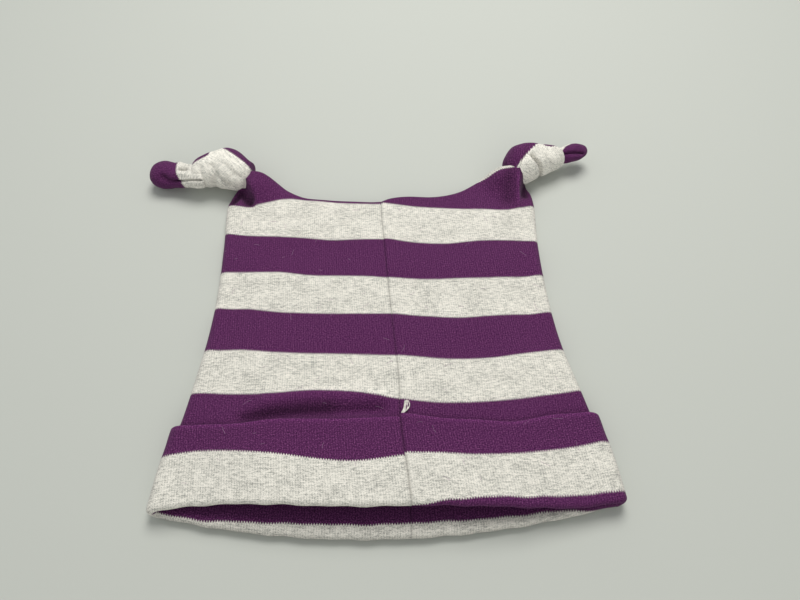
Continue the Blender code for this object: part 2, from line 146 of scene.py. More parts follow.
def area_lamp(name, place, target, size, power, colour):
    """A round lamp that faces a target. Places and sizes are in metres, the power is in watts."""
    lamp_data = bpy.data.lights.new(name, "AREA")
    lamp_data.shape = "DISK"
    lamp_data.size = size
    lamp_data.energy = power
    lamp_data.color = linear(colour)[:3]
    lamp = add_object(name, lamp_data)
    lamp.location = place
    lamp.rotation_euler = (Vector(target) - Vector(place)).to_track_quat("-Z", "Y").to_euler()


area_lamp("ceiling light", (0.07, 0.42, 0.77), (0.01, 0.05, 0), 0.55, 6.15, "#FFFDF8")
area_lamp("front bounce", (0.1, -0.9, 0.5), (0, 0, 0), 0.8, 2.3, "#FFFCF6")
area_lamp("window fill", (-0.9, 0.1, 0.9), (0, 0, 0), 1.2, 0.8, "#F4F8FF")
world = bpy.data.worlds.new("pale room")
world.use_nodes = True
room_light = world.node_tree.nodes["Background"]
room_light.inputs["Color"].default_value = linear("#E9EDEA")
room_light.inputs["Strength"].default_value = 0.42
bpy.context.scene.world = world
bpy.context.scene.view_settings.view_transform = "Standard"

# %% [markdown]
# The cap's outline repeats the one of the solids, from the same sizes and shares. A real cap is cut
# from a knitted tube: its side folds spread towards the mouth, and its top corners are pulled out into
# the ears. Each border is a smooth curve through a few points, and a patch is stretched between the
# four borders, so that every point of the cloth has a place "across" (-1 to 1) and "up" (0 to 1).

# %% Sizes of the cap
CROWN_WIDTH = 151 * MM  # flat width, halfway up
CROWN_HEIGHT = 148 * MM  # from the mouth's side corners up to the shoulders
CROWN_CLOTH = 1.0 * MM
CROWN_LOFT = 8.8 * MM  # outer height of the lying bag along its middle
SIDE_LOFT = 6.4 * MM  # the same close to the side folds
MOUTH_LOFT = 12.6 * MM  # the same at the middle of the mouth, which gapes
SEAM_LOFT = 5.8 * MM  # the same along the top seam
CUFF_DEPTH = 33.5 * MM  # from the turned edge up to the cuff's own edge
CUFF_CLOTH = 1.1 * MM
LINING_DEPTH = 13 * MM  # how far its cloth runs back up inside the mouth
CUFF_SPREAD = 1.1 * MM  # how far it stands wider than the crown at each side
UPPER_LIP_REACH = 1.5 * MM  # how far the mouth's upper edge bows out
LOWER_LIP_REACH = 10.8 * MM  # how far its lower edge bows out
LEFT_LIP_TUCK = 2.2 * MM  # how far the upper lip draws back on the left
RIGHT_LIP_DROOP = 2.0 * MM  # how far it comes forward on the right
RIGHT_MOUTH_SAG = 1.2 * MM  # and how far the mouth closes there
SAG_ACROSS, SAG_WIDTH, SAG_UP = 0.76, 0.2, 0.15  # where that is, in shares of the plan
NECK_THICKNESS = 9.4 * MM  # height of an ear's neck where it goes into its knot
KNOT_LENGTH, KNOT_WIDTH, KNOT_HEIGHT = 30.5 * MM, 22.5 * MM, 19 * MM
END_LENGTH, END_WIDTH, END_THICKNESS, END_GRIP = 25 * MM, 15.2 * MM, 12.8 * MM, 6.5 * MM
CLEARANCE = 0.3 * MM
DRAWING_ORIGIN = Vector((6.986, -87.12, 0)) * MM  # the drawing's own origin, in the frame

HALF_WIDTH = CROWN_WIDTH / 2
CUFF_LIFT = CUFF_CLOTH + CLEARANCE
TURN_RADIUS = CROWN_CLOTH / 2 + CLEARANCE + CUFF_CLOTH / 2  # of the middle of the cuff's cloth
EDGE_RECESS = TURN_RADIUS + CUFF_CLOTH / 2
print("flat width", CROWN_WIDTH / MM, "mm, height", CROWN_HEIGHT / MM, "mm")

# %% [markdown]
# Seen from above, the cap has four borders: the mouth, two sides and the top seam. Each side is given
# at seven heights, from the mouth's corner up to the ear, and the top seam dips between the ears. The
# numbers are shares of the cap's width and height, so that the plan grows with them.

# %% The borders of the plan
Spot = namedtuple("Spot", "across up")  # shares of HALF_WIDTH and CROWN_HEIGHT
SideRow = namedtuple("SideRow", "up left right")
SIDES = [
    SideRow(0.00, -1.136, 1.226),
    SideRow(0.13, -1.108, 1.190),
    SideRow(0.26, -1.058, 1.125),
    SideRow(0.44, -1.018, 1.045),
    SideRow(0.62, -0.998, 1.000),
    SideRow(0.82, -1.010, 0.984),
    SideRow(1.00, -1.034, 0.994),
]
LEFT_CORNER_UP, RIGHT_CORNER_UP = -0.026, 0.004
LEFT_FOLD_END = [Spot(-1.012, 1.041), Spot(-0.987, 1.071)]
RIGHT_FOLD_END = [Spot(0.984, 1.052), Spot(0.962, 1.082)]
LEFT_NECK, RIGHT_NECK = Spot(-0.970, 1.109), Spot(0.935, 1.139)  # blunt ends inside the knots
TOP_SEAM = [
    Spot(-0.857, 1.120), Spot(-0.748, 1.102), Spot(-0.556, 1.043), Spot(-0.397, 1.030),
    Spot(-0.199, 1.023), Spot(-0.030, 1.022), Spot(0.040, 1.036), Spot(0.159, 1.045),
    Spot(0.331, 1.044), Spot(0.505, 1.066), Spot(0.641, 1.109), Spot(0.728, 1.131),
    Spot(0.821, 1.136),
]


def curve_at(knots, values, place):
    """A smooth curve (Catmull-Rom) through values at rising knots, read at one place or an array of them."""
    knots, values = np.asarray(knots, float), np.asarray(values, float)
    slopes = np.gradient(values, knots) if len(knots) < 3 else np.concatenate((
        [(values[1] - values[0]) / (knots[1] - knots[0])],
        (values[2:] - values[:-2]) / (knots[2:] - knots[:-2]),
        [(values[-1] - values[-2]) / (knots[-1] - knots[-2])],
    ))
    place = np.clip(place, knots[0], knots[-1])
    span = np.clip(np.searchsorted(knots, place) - 1, 0, len(knots) - 2)
    width = knots[span + 1] - knots[span]
    t = (place - knots[span]) / width
    return (
        values[span] * (2 * t**3 - 3 * t**2 + 1)
        + slopes[span] * width * (t**3 - 2 * t**2 + t)
        + values[span + 1] * (3 * t**2 - 2 * t**3)
        + slopes[span + 1] * width * (t**3 - t**2)
    )


def path_at(points, share):
    """x and y on the smooth path through points, at a share of its length."""
    points = np.array(points, float)
    run = np.concatenate(([0.0], np.cumsum(np.linalg.norm(np.diff(points, axis=0), axis=1))))
    knots = run / run[-1]
    return curve_at(knots, points[:, 0], share), curve_at(knots, points[:, 1], share)


def plan(across, up):
    return across * HALF_WIDTH, up * CROWN_HEIGHT


def side_border(rows, corner_up, fold_end, neck):
    points = [plan(across, mix(corner_up, 1.0, up)) for up, across in rows]
    points[0] = (points[0][0], points[0][1] + EDGE_RECESS)
    return points + [plan(*spot) for spot in fold_end] + [plan(*neck)]


LEFT_BORDER = side_border([(r.up, r.left) for r in SIDES], LEFT_CORNER_UP, LEFT_FOLD_END, LEFT_NECK)
RIGHT_BORDER = side_border([(r.up, r.right) for r in SIDES], RIGHT_CORNER_UP, RIGHT_FOLD_END, RIGHT_NECK)
TOP_BORDER = [plan(*LEFT_NECK)] + [plan(*spot) for spot in TOP_SEAM] + [plan(*RIGHT_NECK)]
for which, border in (("left", LEFT_BORDER), ("right", RIGHT_BORDER)):
    print(which, "corner of the mouth, mm:", [round(v / MM, 1) for v in border[0]])

# %% [markdown]
# A Coons patch fills the plan: it blends the mouth with the top seam and the left side with the right,
# and takes away what is counted twice. The mouth's two lips bow out by different amounts, so that the
# upper layer and the one on the table part there.

# %% The patch between the borders
def patch(across, up, upper):
    """x and y of the cloth in plan. upper is 1 for the top layer and 0 for the one on the table."""
    share = (across + 1) / 2
    top_x, top_y = path_at(TOP_BORDER, share)
    left_x, left_y = path_at(LEFT_BORDER, up)
    right_x, right_y = path_at(RIGHT_BORDER, up)
    (lx0, ly0), (rx0, ry0) = LEFT_BORDER[0], RIGHT_BORDER[0]
    (lx1, ly1), (rx1, ry1) = LEFT_BORDER[-1], RIGHT_BORDER[-1]
    bow = 1 - across**2
    reach = mix(LOWER_LIP_REACH, UPPER_LIP_REACH, upper)
    tuck = 4 * bow * (1 - bow) * np.where(across < 0, LEFT_LIP_TUCK, -RIGHT_LIP_DROOP) * upper
    mouth_x = mix(lx0, rx0, share)
    mouth_y = mix(ly0, ry0, share) - bow * reach + tuck
    corner_x = mix(mix(lx0, rx0, share), mix(lx1, rx1, share), up)
    corner_y = mix(mix(ly0, ry0, share), mix(ly1, ry1, share), up)
    x = mix(mouth_x, top_x, up) + mix(left_x, right_x, share) - corner_x
    y = mix(mouth_y, top_y, up) + mix(left_y, right_y, share) - corner_y
    return x, y


# The front seam leans a little: its place across, from the mouth up to the top seam
SEAM_UPS = (0.0, 0.10, 0.22, 0.35, 0.50, 0.70, 1.0)
SEAM_ACROSS = (0.098, 0.082, 0.068, 0.078, 0.062, 0.036, -0.004)


def seam_across(up):
    return curve_at(SEAM_UPS, SEAM_ACROSS, up)


print("front seam at the mouth, mm:", round(float(patch(seam_across(0.0), 0.0, 1.0)[0]) / MM, 1))

# %% [markdown]
# The bag isn't flat: air and the springy knit hold its two layers apart, most of all at the mouth.
# Close to an ear the cloth rises into the knot. Each side fold is half an ellipse as high as the bag
# is there. The functions work on whole arrays at once, which keeps a mesh of many points quick.

# %% Height of the bag
def knot_rise(girth):
    return KNOT_HEIGHT * girth / 2


LEFT_GIRTH, RIGHT_GIRTH = 1.0, 0.92
LEFT_NECK_RISE, RIGHT_NECK_RISE = 8.0 * MM, 8.7 * MM  # heights of the necks' middles at the knots
NECK_REACH_START, NECK_REACH_FULL = 0.34, 0.13  # shares of HALF_WIDTH
# Each neck has a ridge, up the drawing from the body into the knot, in mm. Outside it the cloth stays low.
RIDGE_UPS = (110, 145.5, 156, 166, 175)
LEFT_RIDGE, RIGHT_RIDGE = (-59, -62.2, -66.6, -72.5, -76), (66.0, 66.4, 67.2, 71.4, 75)
RIDGE_WALL = 2.4 * MM  # from the ridge's crest out to the foot of its steep side


def beyond_ridge(x, y):
    """How far a point is outside the nearer ear's ridge, towards the side of the cap."""
    left = curve_at(RIDGE_UPS, LEFT_RIDGE, y / MM) * MM - x
    right = x - curve_at(RIDGE_UPS, RIGHT_RIDGE, y / MM) * MM
    return np.where(x < 0, left, right)


def ear_closeness(x, y):
    """0 over the body, rising to 1 in the neck of either ear, and 0 again outside its ridge."""
    gaps = [np.hypot(x - nx, y - ny) for nx, ny in (plan(*LEFT_NECK), plan(*RIGHT_NECK))]
    nearest = np.minimum(*gaps) / HALF_WIDTH
    near = smooth((NECK_REACH_START - nearest) / (NECK_REACH_START - NECK_REACH_FULL))
    return near * (1 - smooth(beyond_ridge(x, y) / RIDGE_WALL))


def loft_at(x, y, across, up):
    middle = curve_at((0.0, 0.14, 0.30, 0.55, 0.85, 1.0),
                      (MOUTH_LOFT, mix(MOUTH_LOFT, CROWN_LOFT, 0.3), CROWN_LOFT, CROWN_LOFT,
                       mix(CROWN_LOFT, SEAM_LOFT, 0.3), SEAM_LOFT), up)
    body = mix(middle, SIDE_LOFT, smooth(np.abs(across)) ** 3)
    body = body - RIGHT_MOUTH_SAG * bell(across - SAG_ACROSS, SAG_WIDTH) * (1 - smooth(up / SAG_UP))
    return mix(body, NECK_THICKNESS, ear_closeness(x, y))


def floor_at(x, y, up):
    """Height of the underside: on the cuff's lower layer, on the table, or lifted into a knot."""
    cuff_end = 1.5 * CUFF_DEPTH / CROWN_HEIGHT
    lift = CUFF_LIFT * (1 - smooth((up - cuff_end / 1.4) / (cuff_end * 0.6)))
    rise = np.where(x < 0, LEFT_NECK_RISE, RIGHT_NECK_RISE)
    return mix(lift, rise - NECK_THICKNESS / 2, ear_closeness(x, y))


print("height at the middle of the mouth, mm:", round(float(loft_at(0.0, 0.0, 0.0, 0.0)) / MM, 2))

# %% [markdown]
# The small relief is what makes it cloth. Soft waves left by handling run everywhere, and the jersey
# sags, tucks above the cuff and is pulled into sharp pleats by each tied ear. A cloth simulation would
# wrinkle at random, and these few folds have known places, so they are drawn as lines.

# %% Waves and folds
Wave = namedtuple("Wave", "turn_deg length_mm height_mm start_deg")
WAVES = [
    Wave(8, 61, 0.34, 20), Wave(-24, 43, 0.24, 140), Wave(52, 36, 0.16, 255), Wave(86, 55, 0.30, 80),
    Wave(100, 29, 0.12, 300), Wave(-58, 23, 0.08, 35), Wave(30, 17, 0.05, 190),
]
# A fold is pressed in along a line, or raised where its depth is negative. A line of two points and a
# large width is a sag. Places, widths and depths are in mm of the drawing. The last column paints shade
# into the cloth's colour down in a fold, and a painted highlight on a ridge or a swell.
Fold = namedtuple("Fold", "name points width depth tone")
FOLDS = [
    Fold("tuck over the cuff",
         ((-56, 31.2), (-50, 32.8), (-43, 34.0), (-32, 35.0), (-18, 35.8), (0, 36.2)), 2.4, 3.2, 0),
    # This row only paints shade into the tuck; it presses nothing in
    Fold("depth of the tuck", ((-53, 32.5), (-45, 34.5), (-35, 36.3), (-21, 37.6)), 3.6, 0, -0.38),
    Fold("swell over the tuck", ((-46, 40.6), (-34, 42.4), (-18, 43.2), (0, 43.2)), 3.2, -1.8, 0.14),
    Fold("left sag", ((-52, 116), (-26, 120)), 9, 0.9, 0),
    Fold("right sag", ((18, 94), (46, 90)), 10, 0.9, 0),
    Fold("middle swell", ((-34, 77), (12, 77)), 18, -0.7, 0),
    Fold("slack beside the left side", ((-68, 60), (-66, 100)), 5, 0.7, 0),
    Fold("slack beside the right side", ((66, 70), (64, 112)), 5, 0.7, 0),
    # The hollows and the valley beside the ridges get painted shade, the ridge's line a painted highlight
    Fold("hollow outside the left ridge", ((-75.5, 150.5), (-72, 155.5), (-67.0, 149.5)), 2.5, 3.2, -0.66),
    Fold("hollow outside the right ridge", ((71.2, 163), (70.6, 154.5)), 2.8, 2.5, -0.70),
    Fold("line of the right ridge", ((67.0, 161), (66.6, 148)), 0.7, -0.3, 0.45),
    Fold("valley inside the right ridge", ((62.6, 161), (61.4, 150)), 3.6, 1.6, -0.30),
    Fold("neck of the left ear", ((-60, 157), (-46, 151)), 5, -0.8, 0.06),
    Fold("neck of the right ear", ((69, 165), (58, 160)), 4, -2.2, 0),
]
SEAM_GROOVE_WIDTH, SEAM_GROOVE_DEPTH = 0.50 * MM, 0.60 * MM


def line_distance(x, y, points):
    """Distance from places to the nearest part of a line through points."""
    nearest = np.full(np.broadcast(x, y).shape, np.inf)
    for (x0, y0), (x1, y1) in zip(points, points[1:]):
        run_x, run_y = x1 - x0, y1 - y0
        share = np.clip(((x - x0) * run_x + (y - y0) * run_y) / (run_x**2 + run_y**2), 0, 1)
        nearest = np.minimum(nearest, np.hypot(x - x0 - share * run_x, y - y0 - share * run_y))
    return nearest


def waves_at(x, y):
    total = np.zeros(np.shape(x))
    for wave in WAVES:
        turn = math.radians(wave.turn_deg)
        phase = (x * math.cos(turn) + y * math.sin(turn)) / (wave.length_mm * MM) * 2 * math.pi
        total += wave.height_mm * MM * np.sin(phase + math.radians(wave.start_deg))
    return total


def folds_at(x, y, value="depth"):
    """The sum of the folds' depths, in metres, or of their tones."""
    total = np.zeros(np.shape(x))
    for fold in FOLDS:
        size = fold.tone if value == "tone" else fold.depth * MM
        total += size * bell(line_distance(x / MM, y / MM, fold.points), fold.width)
    return total


print("folds drawn on the crown:", [fold.name for fold in FOLDS])

# %% [markdown]
# Borders, height and relief meet in one function. It is given a station on the cap's section and gives
# the place of that point on the outer skin, so the crown and the cuff follow each other everywhere.

# %% One function for every point of the cap's skin
def bag_point(up, turn_deg, side, angle_deg, flat, upper, outward=0.0, relief=1.0):
    """x, y, z of the outer skin in the drawing, moved outward by a distance.

    side and angle_deg go round a side fold, flat runs between the folds, and turn_deg falls from 90
    to 0 where the top seam rounds the bag off. All of them may be arrays."""
    angle, turn = np.radians(angle_deg), np.radians(turn_deg)
    left_x, left_y = path_at(LEFT_BORDER, up)
    right_x, right_y = path_at(RIGHT_BORDER, up)
    rim_x, rim_y = np.where(flat > 0, right_x, left_x), np.where(flat > 0, right_y, left_y)
    inset = np.minimum(0.5, loft_at(rim_x, rim_y, 1.0, up) / np.hypot(right_x - left_x, right_y - left_y))
    across = np.where(side == 0, flat * (1 - inset), side * (1 - inset * (1 - np.cos(angle))))
    across = across + seam_across(up) * (1 - across**2)
    x, y = patch(across, up, upper)
    half_loft = loft_at(x, y, across, up) / 2
    rise = np.sin(angle) * np.sin(turn)
    height = half_loft * rise
    height = height - upper * relief * rise * folds_at(x, y)
    height = height + upper * rise * waves_at(x, y) * smooth(up / 0.06) + outward * np.sin(angle)
    z = floor_at(x, y, up) + half_loft + np.where(upper > 0.5, height, -height)
    return x + side * outward * np.cos(angle), y, z


def seam_distance(x, y, up):
    """How far a point is to the right of the front seam."""
    across = seam_across(up)
    seam_x, _ = patch(across, up, 1.0)
    return x - seam_x

# %% [markdown]
# The jersey's stripes are knitted in, so an edge between two colours follows one course of stitches
# round the cap, and bends with the cloth. The tables give how far up each edge lies at twelve places
# beside the front seam, in mm. The two halves don't quite meet at the seam, as on the real cap.

# %% The stripes
STATIONS = (-80, -65, -50, -35, -20, -1, 1, 15, 30, 45, 60, 76)  # mm to the right of the front seam
STRIPE_EDGES = {
    "over the top": (190.6, 190.6, 190.6, 190.6, 190.6, 190.6, 190.6, 190.6, 176.6, 162.9, 163.5, 165.3),
    "under the top": (148.2, 145.6, 150.1, 150.1, 148.6, 148.1, 148.9, 146.1, 145.0, 144.0, 143.4, 147.2),
    "over the second": (129.6, 127.2, 126.3, 125.4, 124.0, 123.7, 124.3, 122.5, 122.1, 123.5, 124.5, 125.2),
    "under the second": (106.4, 105.6, 104.9, 103.2, 102.5, 101.2, 101.4, 101.0, 101.3, 102.0, 103.4, 104.9),
    "over the third": (86.6, 85.6, 83.6, 82.5, 81.9, 82.0, 82.1, 81.0, 80.6, 82.2, 83.5, 85.6),
    "under the third": (65.0, 64.2, 62.8, 62.0, 61.8, 61.0, 61.1, 59.8, 60.0, 61.3, 63.7, 66.0),
    "over the fourth": (44.5, 43.6, 43.3, 44.3, 43.6, 40.8, 40.6, 39.2, 39.6, 40.7, 43.1, 46.1),
    "under the fourth": (21.6, 21.6, 21.6, 21.6, 21.6, 21.6, 21.6, 21.6, 21.6, 21.6, 21.6, 21.6),
}
# On the cuff the edges are arc lengths from the front of the turned edge, outside positive.
CUFF_EDGE = (20.2, 19.6, 19.3, 18.2, 17.3, 18.9, 20.0, 19.9, 19.5, 19.8, 20.6, 21.9)
UPPER_LIP_EDGE = (-0.6, -0.6, -0.8, -0.8, -0.8, -0.4, 0.4, 2.8, 4.1, 4.5, 5.0, 4.8)
LOWER_LIP_EDGE = (-2.4, -4.0, -5.0, -5.6, -5.7, -5.9, -5.9, -5.6, -5.0, -4.3, -3.0, 1.5)
CUFF_HEM = (29.2, 29.0, 30.5, 30.7, 30.8, 31.3, 33.0, 31.2, 30.5, 29.5, 33.0, 35.1)  # up, in the drawing


def edge_at(row, beside):
    """Height of an edge at a distance beside the front seam."""
    first_right = sum(station < 0 for station in STATIONS)
    left = curve_at(STATIONS[:first_right], row[:first_right], beside / MM)
    right = curve_at(STATIONS[first_right:], row[first_right:], beside / MM)
    return np.where(beside < 0, left, right) * MM


def body_stripe(beside, y):
    """Distance into the purple, in metres: above 0 in a purple stripe, below 0 in a grey one."""
    edges = np.stack([edge_at(row, beside) for row in STRIPE_EDGES.values()])
    away = y - edges
    nearest = np.argmin(np.abs(away), axis=0)
    signs = np.array([1.0 if name.startswith("under") else -1.0 for name in STRIPE_EDGES])
    return np.take_along_axis(away, nearest[None], 0)[0] * signs[nearest]


seam_edges = [row[5] for row in STRIPE_EDGES.values()][1:]
print("stripe widths at the seam, mm:", [round(a - b, 1) for a, b in zip(seam_edges, seam_edges[1:])])

# %% [markdown]
# A mesh is built from a grid of points: rows up the cap and columns round it. Columns crowd together
# at the side folds, where the pleats are, and beside the front seam. Each point also keeps three things
# for its material: its place in the cloth, in metres of wale and course, its distance into the purple,
# and a tone of painted shading, which darkens the colour with painted shade down a deep fold and lightens
# it with a painted highlight on a rim. A material that reads those follows the knit, whatever the fold.

# %% Grid helpers
FLAT_STEPS, FOLD_STEPS = 104, 8
BODY_ROWS, TOP_ROWS = 132, 6


def ring_columns():
    """The stations round a section: side, angle_deg, flat and upper, as one array each."""
    angles = [90.0 * step / FOLD_STEPS for step in range(FOLD_STEPS)]
    even = np.linspace(1, -1, FLAT_STEPS + 1)
    flats = list(mix(even, np.sin(np.pi / 2 * even), 0.7))
    seam_spots = [0.0035, 0.007, 0.013, -0.0035, -0.007, -0.013]
    flats = sorted(flats + seam_spots, reverse=True)
    upper = [(1, angle, 1.0, 1.0) for angle in angles]
    upper += [(0, 90.0, flat, 1.0) for flat in flats]
    upper += [(-1, angle, -1.0, 1.0) for angle in reversed(angles)]
    lower = [(side, angle, flat, 0.0) for side, angle, flat, _ in reversed(upper[1:-1])]
    return np.array(upper + lower).T, len(upper)


COLUMNS, UPPER_COUNT = ring_columns()


def store(mesh, name, values, kind="FLOAT"):
    """Keeps one value or vector for each point, for the materials to read."""
    layer = mesh.attributes.new(name, kind, "POINT")
    layer.data.foreach_set("value" if kind == "FLOAT" else "vector", np.ravel(values).astype(np.float32))


def to_frame(x, y, z):
    return np.stack((x + DRAWING_ORIGIN.x, y + DRAWING_ORIGIN.y, z), axis=-1)


def new_piece(name, points, faces, cloth, stripe, tone=None):
    mesh = bpy.data.meshes.new(name)
    mesh.from_pydata(points.reshape(-1, 3).tolist(), [], faces)
    store(mesh, "cloth", cloth, "FLOAT_VECTOR")
    store(mesh, "stripe", stripe)
    store(mesh, "tone", np.zeros(len(mesh.vertices)) if tone is None else tone)
    mesh.shade_smooth()
    return add_object(name, mesh)


def grid_faces(rows, columns, closed_rows=False):
    """Quads over a grid whose columns go all the way round."""
    faces = []
    for i in range(rows if closed_rows else rows - 1):
        low, high = i * columns, (i + 1) % rows * columns
        for j in range(columns):
            k = (j + 1) % columns
            faces.append((high + j, high + k, low + k, low + j))
    return faces


def triangles(piece):
    shown = piece.evaluated_get(bpy.context.evaluated_depsgraph_get()).data
    return sum(len(p.vertices) - 2 for p in shown.polygons)


def round_fold(radius, angle_deg):
    """How much longer the cloth is than its plan, from the top of a fold (90 degrees) down to an angle."""
    angle = np.radians(angle_deg)
    return radius * (np.pi / 2 - angle - np.cos(angle))


print("columns round the cap:", COLUMNS.shape[1], "of which on the upper layer:", UPPER_COUNT)

# %% [markdown]
# The crown is the striped bag. Real ones are cut from a knitted tube and sewn along the top, so it is
# made as one skin that closes in the top seam, then thickened inwards to the cloth's real wall. The
# front seam presses a fine groove into it, and shade is painted onto the cloth just above the cuff's hem.

# %% The crown's cloth
RELIEF_FROM, RELIEF_BLEND = 0.19, 0.02  # how far up the folds begin, and the share they come in over
CROWN_GROOVE = 0.45  # the groove's depth here, as a share of the cuff's
# painted shade just above the hem: how dark, how far above the hem, and how wide
HEM_SHADE, HEM_SHADE_UP, HEM_SHADE_WIDTH = 0.22, 1.0 * MM, 1.4 * MM


def crown_rows():
    edge = SEAM_LOFT / 2 / CROWN_HEIGHT
    even = np.linspace(0, 1, BODY_ROWS + 1)
    ups = list((1 - edge) * mix(even, np.sin(np.pi / 2 * even), 0.35))
    turns = [90.0] * len(ups)
    for step in range(1, TOP_ROWS):
        angle = 90.0 * (1 - step / TOP_ROWS)
        ups.append(1 - edge * (1 - math.cos(math.radians(angle))))
        turns.append(angle)
    return np.array(ups)[:, None], np.array(turns)[:, None]


def make_crown():
    """The striped bag: one skin of points, closed along the top seam and thickened inwards."""
    up, turn = crown_rows()
    side, angle, flat, upper = COLUMNS[:, None, :]
    above_cuff = smooth((up - RELIEF_FROM) / RELIEF_BLEND)
    x, y, z = bag_point(up, turn, side, angle, flat, upper, relief=above_cuff)
    beside = seam_distance(x, y, np.broadcast_to(up, x.shape))
    z = z - upper * (side == 0) * CROWN_GROOVE * SEAM_GROOVE_DEPTH * bell(beside, SEAM_GROOVE_WIDTH)
    rows, count = x.shape
    top_x, top_y, top_z = bag_point(1.0, 0.0, *(row[1:UPPER_COUNT - 1] for row in COLUMNS))
    points = np.concatenate((to_frame(x, y, z).reshape(-1, 3), to_frame(top_x, top_y, top_z)))
    faces = grid_faces(rows, count)
    last = [(rows - 1) * count + j for j in range(count)]
    seam = [rows * count + j for j in range(len(top_x))]
    line = [last[0]] + seam + [last[UPPER_COUNT - 1]]
    closing = line + line[-2:0:-1]
    for j in range(count):
        k = (j + 1) % count
        corners = [closing[j], closing[k], last[k], last[j]]
        faces.append([v for n, v in enumerate(corners) if v not in corners[:n]])
    all_x, all_y = np.concatenate((x.ravel(), top_x)), np.concatenate((y.ravel(), top_y))
    all_beside = np.concatenate((beside.ravel(), seam_distance(top_x, top_y, np.ones(len(top_x)))))
    wale = (beside + side * round_fold(SIDE_LOFT / 2, angle)).ravel()
    course = (y + round_fold(SEAM_LOFT / 2, turn)).ravel()
    wale = np.concatenate((wale, all_beside[-len(top_x):]))
    course = np.concatenate((course, top_y + round_fold(SEAM_LOFT / 2, 0.0)))
    cloth = np.stack((wale, course, np.zeros(len(all_x))), axis=-1)
    # Painted shade down in the folds and just above the hem, painted highlight on the ridges
    over_hem = all_y - edge_at(CUFF_HEM, all_beside)
    tone = folds_at(all_x, all_y, "tone") - HEM_SHADE * bell(over_hem - HEM_SHADE_UP, HEM_SHADE_WIDTH)
    crown = new_piece("crown_cloth", points, faces, cloth, body_stripe(all_beside, all_y), tone)
    wall = crown.modifiers.new("cloth", "SOLIDIFY")
    wall.thickness = CROWN_CLOTH
    wall.offset = -1.0
    wall.use_even_offset = False
    return crown


crown = make_crown()
print("crown:", triangles(crown), "triangles")

# %% [markdown]
# The cuff is the mouth's edge turned up over the outside. Its section is one closed loop: the lining
# inside, the turned edge, the outside leg, and the hem, which is doubled and so a little thicker, with
# a painted highlight along its rolled end. The loop is carried round the bag, so the cuff is a real band
# with a hollow in it. Its lower lip curls a little off the table, and shade is painted onto it.

# %% The cuff's cloth
HEM_SWELL = 0.45 * MM  # the doubled hem stands prouder by this
HEM_REACH = 8 * MM  # and is this deep
HEM_PAINTED_HIGHLIGHT = 0.34  # a painted highlight along its rolled end
LIP_PAINTED_SHADE = 0.16  # painted shade on the lower lip, on the table
LIP_CURL, LIP_CURL_REACH = 1.1 * MM, 16 * MM  # the lower lip's edge curls up off the table
HEM_HIGHLIGHT_WIDTH, LIP_SHADE_WIDTH = 0.8 * MM, 6 * MM
LIP_RIPPLE, RIPPLE_FADE = 0.14 * MM, 12  # small waves in the turned edge, gone a twelfth of the way up
RIPPLE_LONG, RIPPLE_SHORT = 3.1 * MM, 1.9 * MM  # the lengths of the waves for each radian
OUTSIDE_STEPS, LINING_STEPS, ROUND_STEPS, HEM_STEPS = 40, 9, 12, 7
BACK_STEPS, BACK_ROUND_STEPS, BACK_LINING_STEPS = 10, 6, 5  # the cloth's other face, which is hidden


def hem_up(side, angle, flat, upper):
    """How far up the patch the cuff's own edge lies, at each column."""
    up = np.full(flat.shape, CUFF_DEPTH / CROWN_HEIGHT)
    for _ in range(4):
        x, y, _ = bag_point(up, 90.0, side, angle, flat, upper)
        beside = x - patch(seam_across(up), up, 1.0)[0]
        wanted = edge_at(CUFF_HEM, beside)
        up = up + (wanted - y) / CROWN_HEIGHT
    return up


def cuff_section():
    """Rows of (leg, share or angle, outward) round the section, from leg to leg and back inside."""
    outer, inner = TURN_RADIUS + CUFF_CLOTH / 2, TURN_RADIUS - CUFF_CLOTH / 2
    middle = -CROWN_CLOTH / 2
    section = [("lining", 1 - s / LINING_STEPS, middle - outer) for s in range(LINING_STEPS)]
    section += [("turn", 180 - 180 * s / ROUND_STEPS, outer) for s in range(ROUND_STEPS + 1)]
    section += [("out", (s + 1) / OUTSIDE_STEPS, middle + outer) for s in range(OUTSIDE_STEPS)]
    section += [("hem", 90 - 180 * s / HEM_STEPS, 0.0) for s in range(1, HEM_STEPS)]
    section += [("out", 1 - s / BACK_STEPS, middle + inner) for s in range(BACK_STEPS)]
    section += [("turn", 180 * s / BACK_ROUND_STEPS, inner) for s in range(BACK_ROUND_STEPS + 1)]
    back = BACK_LINING_STEPS
    section += [("lining", (s + 1) / back, middle - inner) for s in range(back)]
    return section


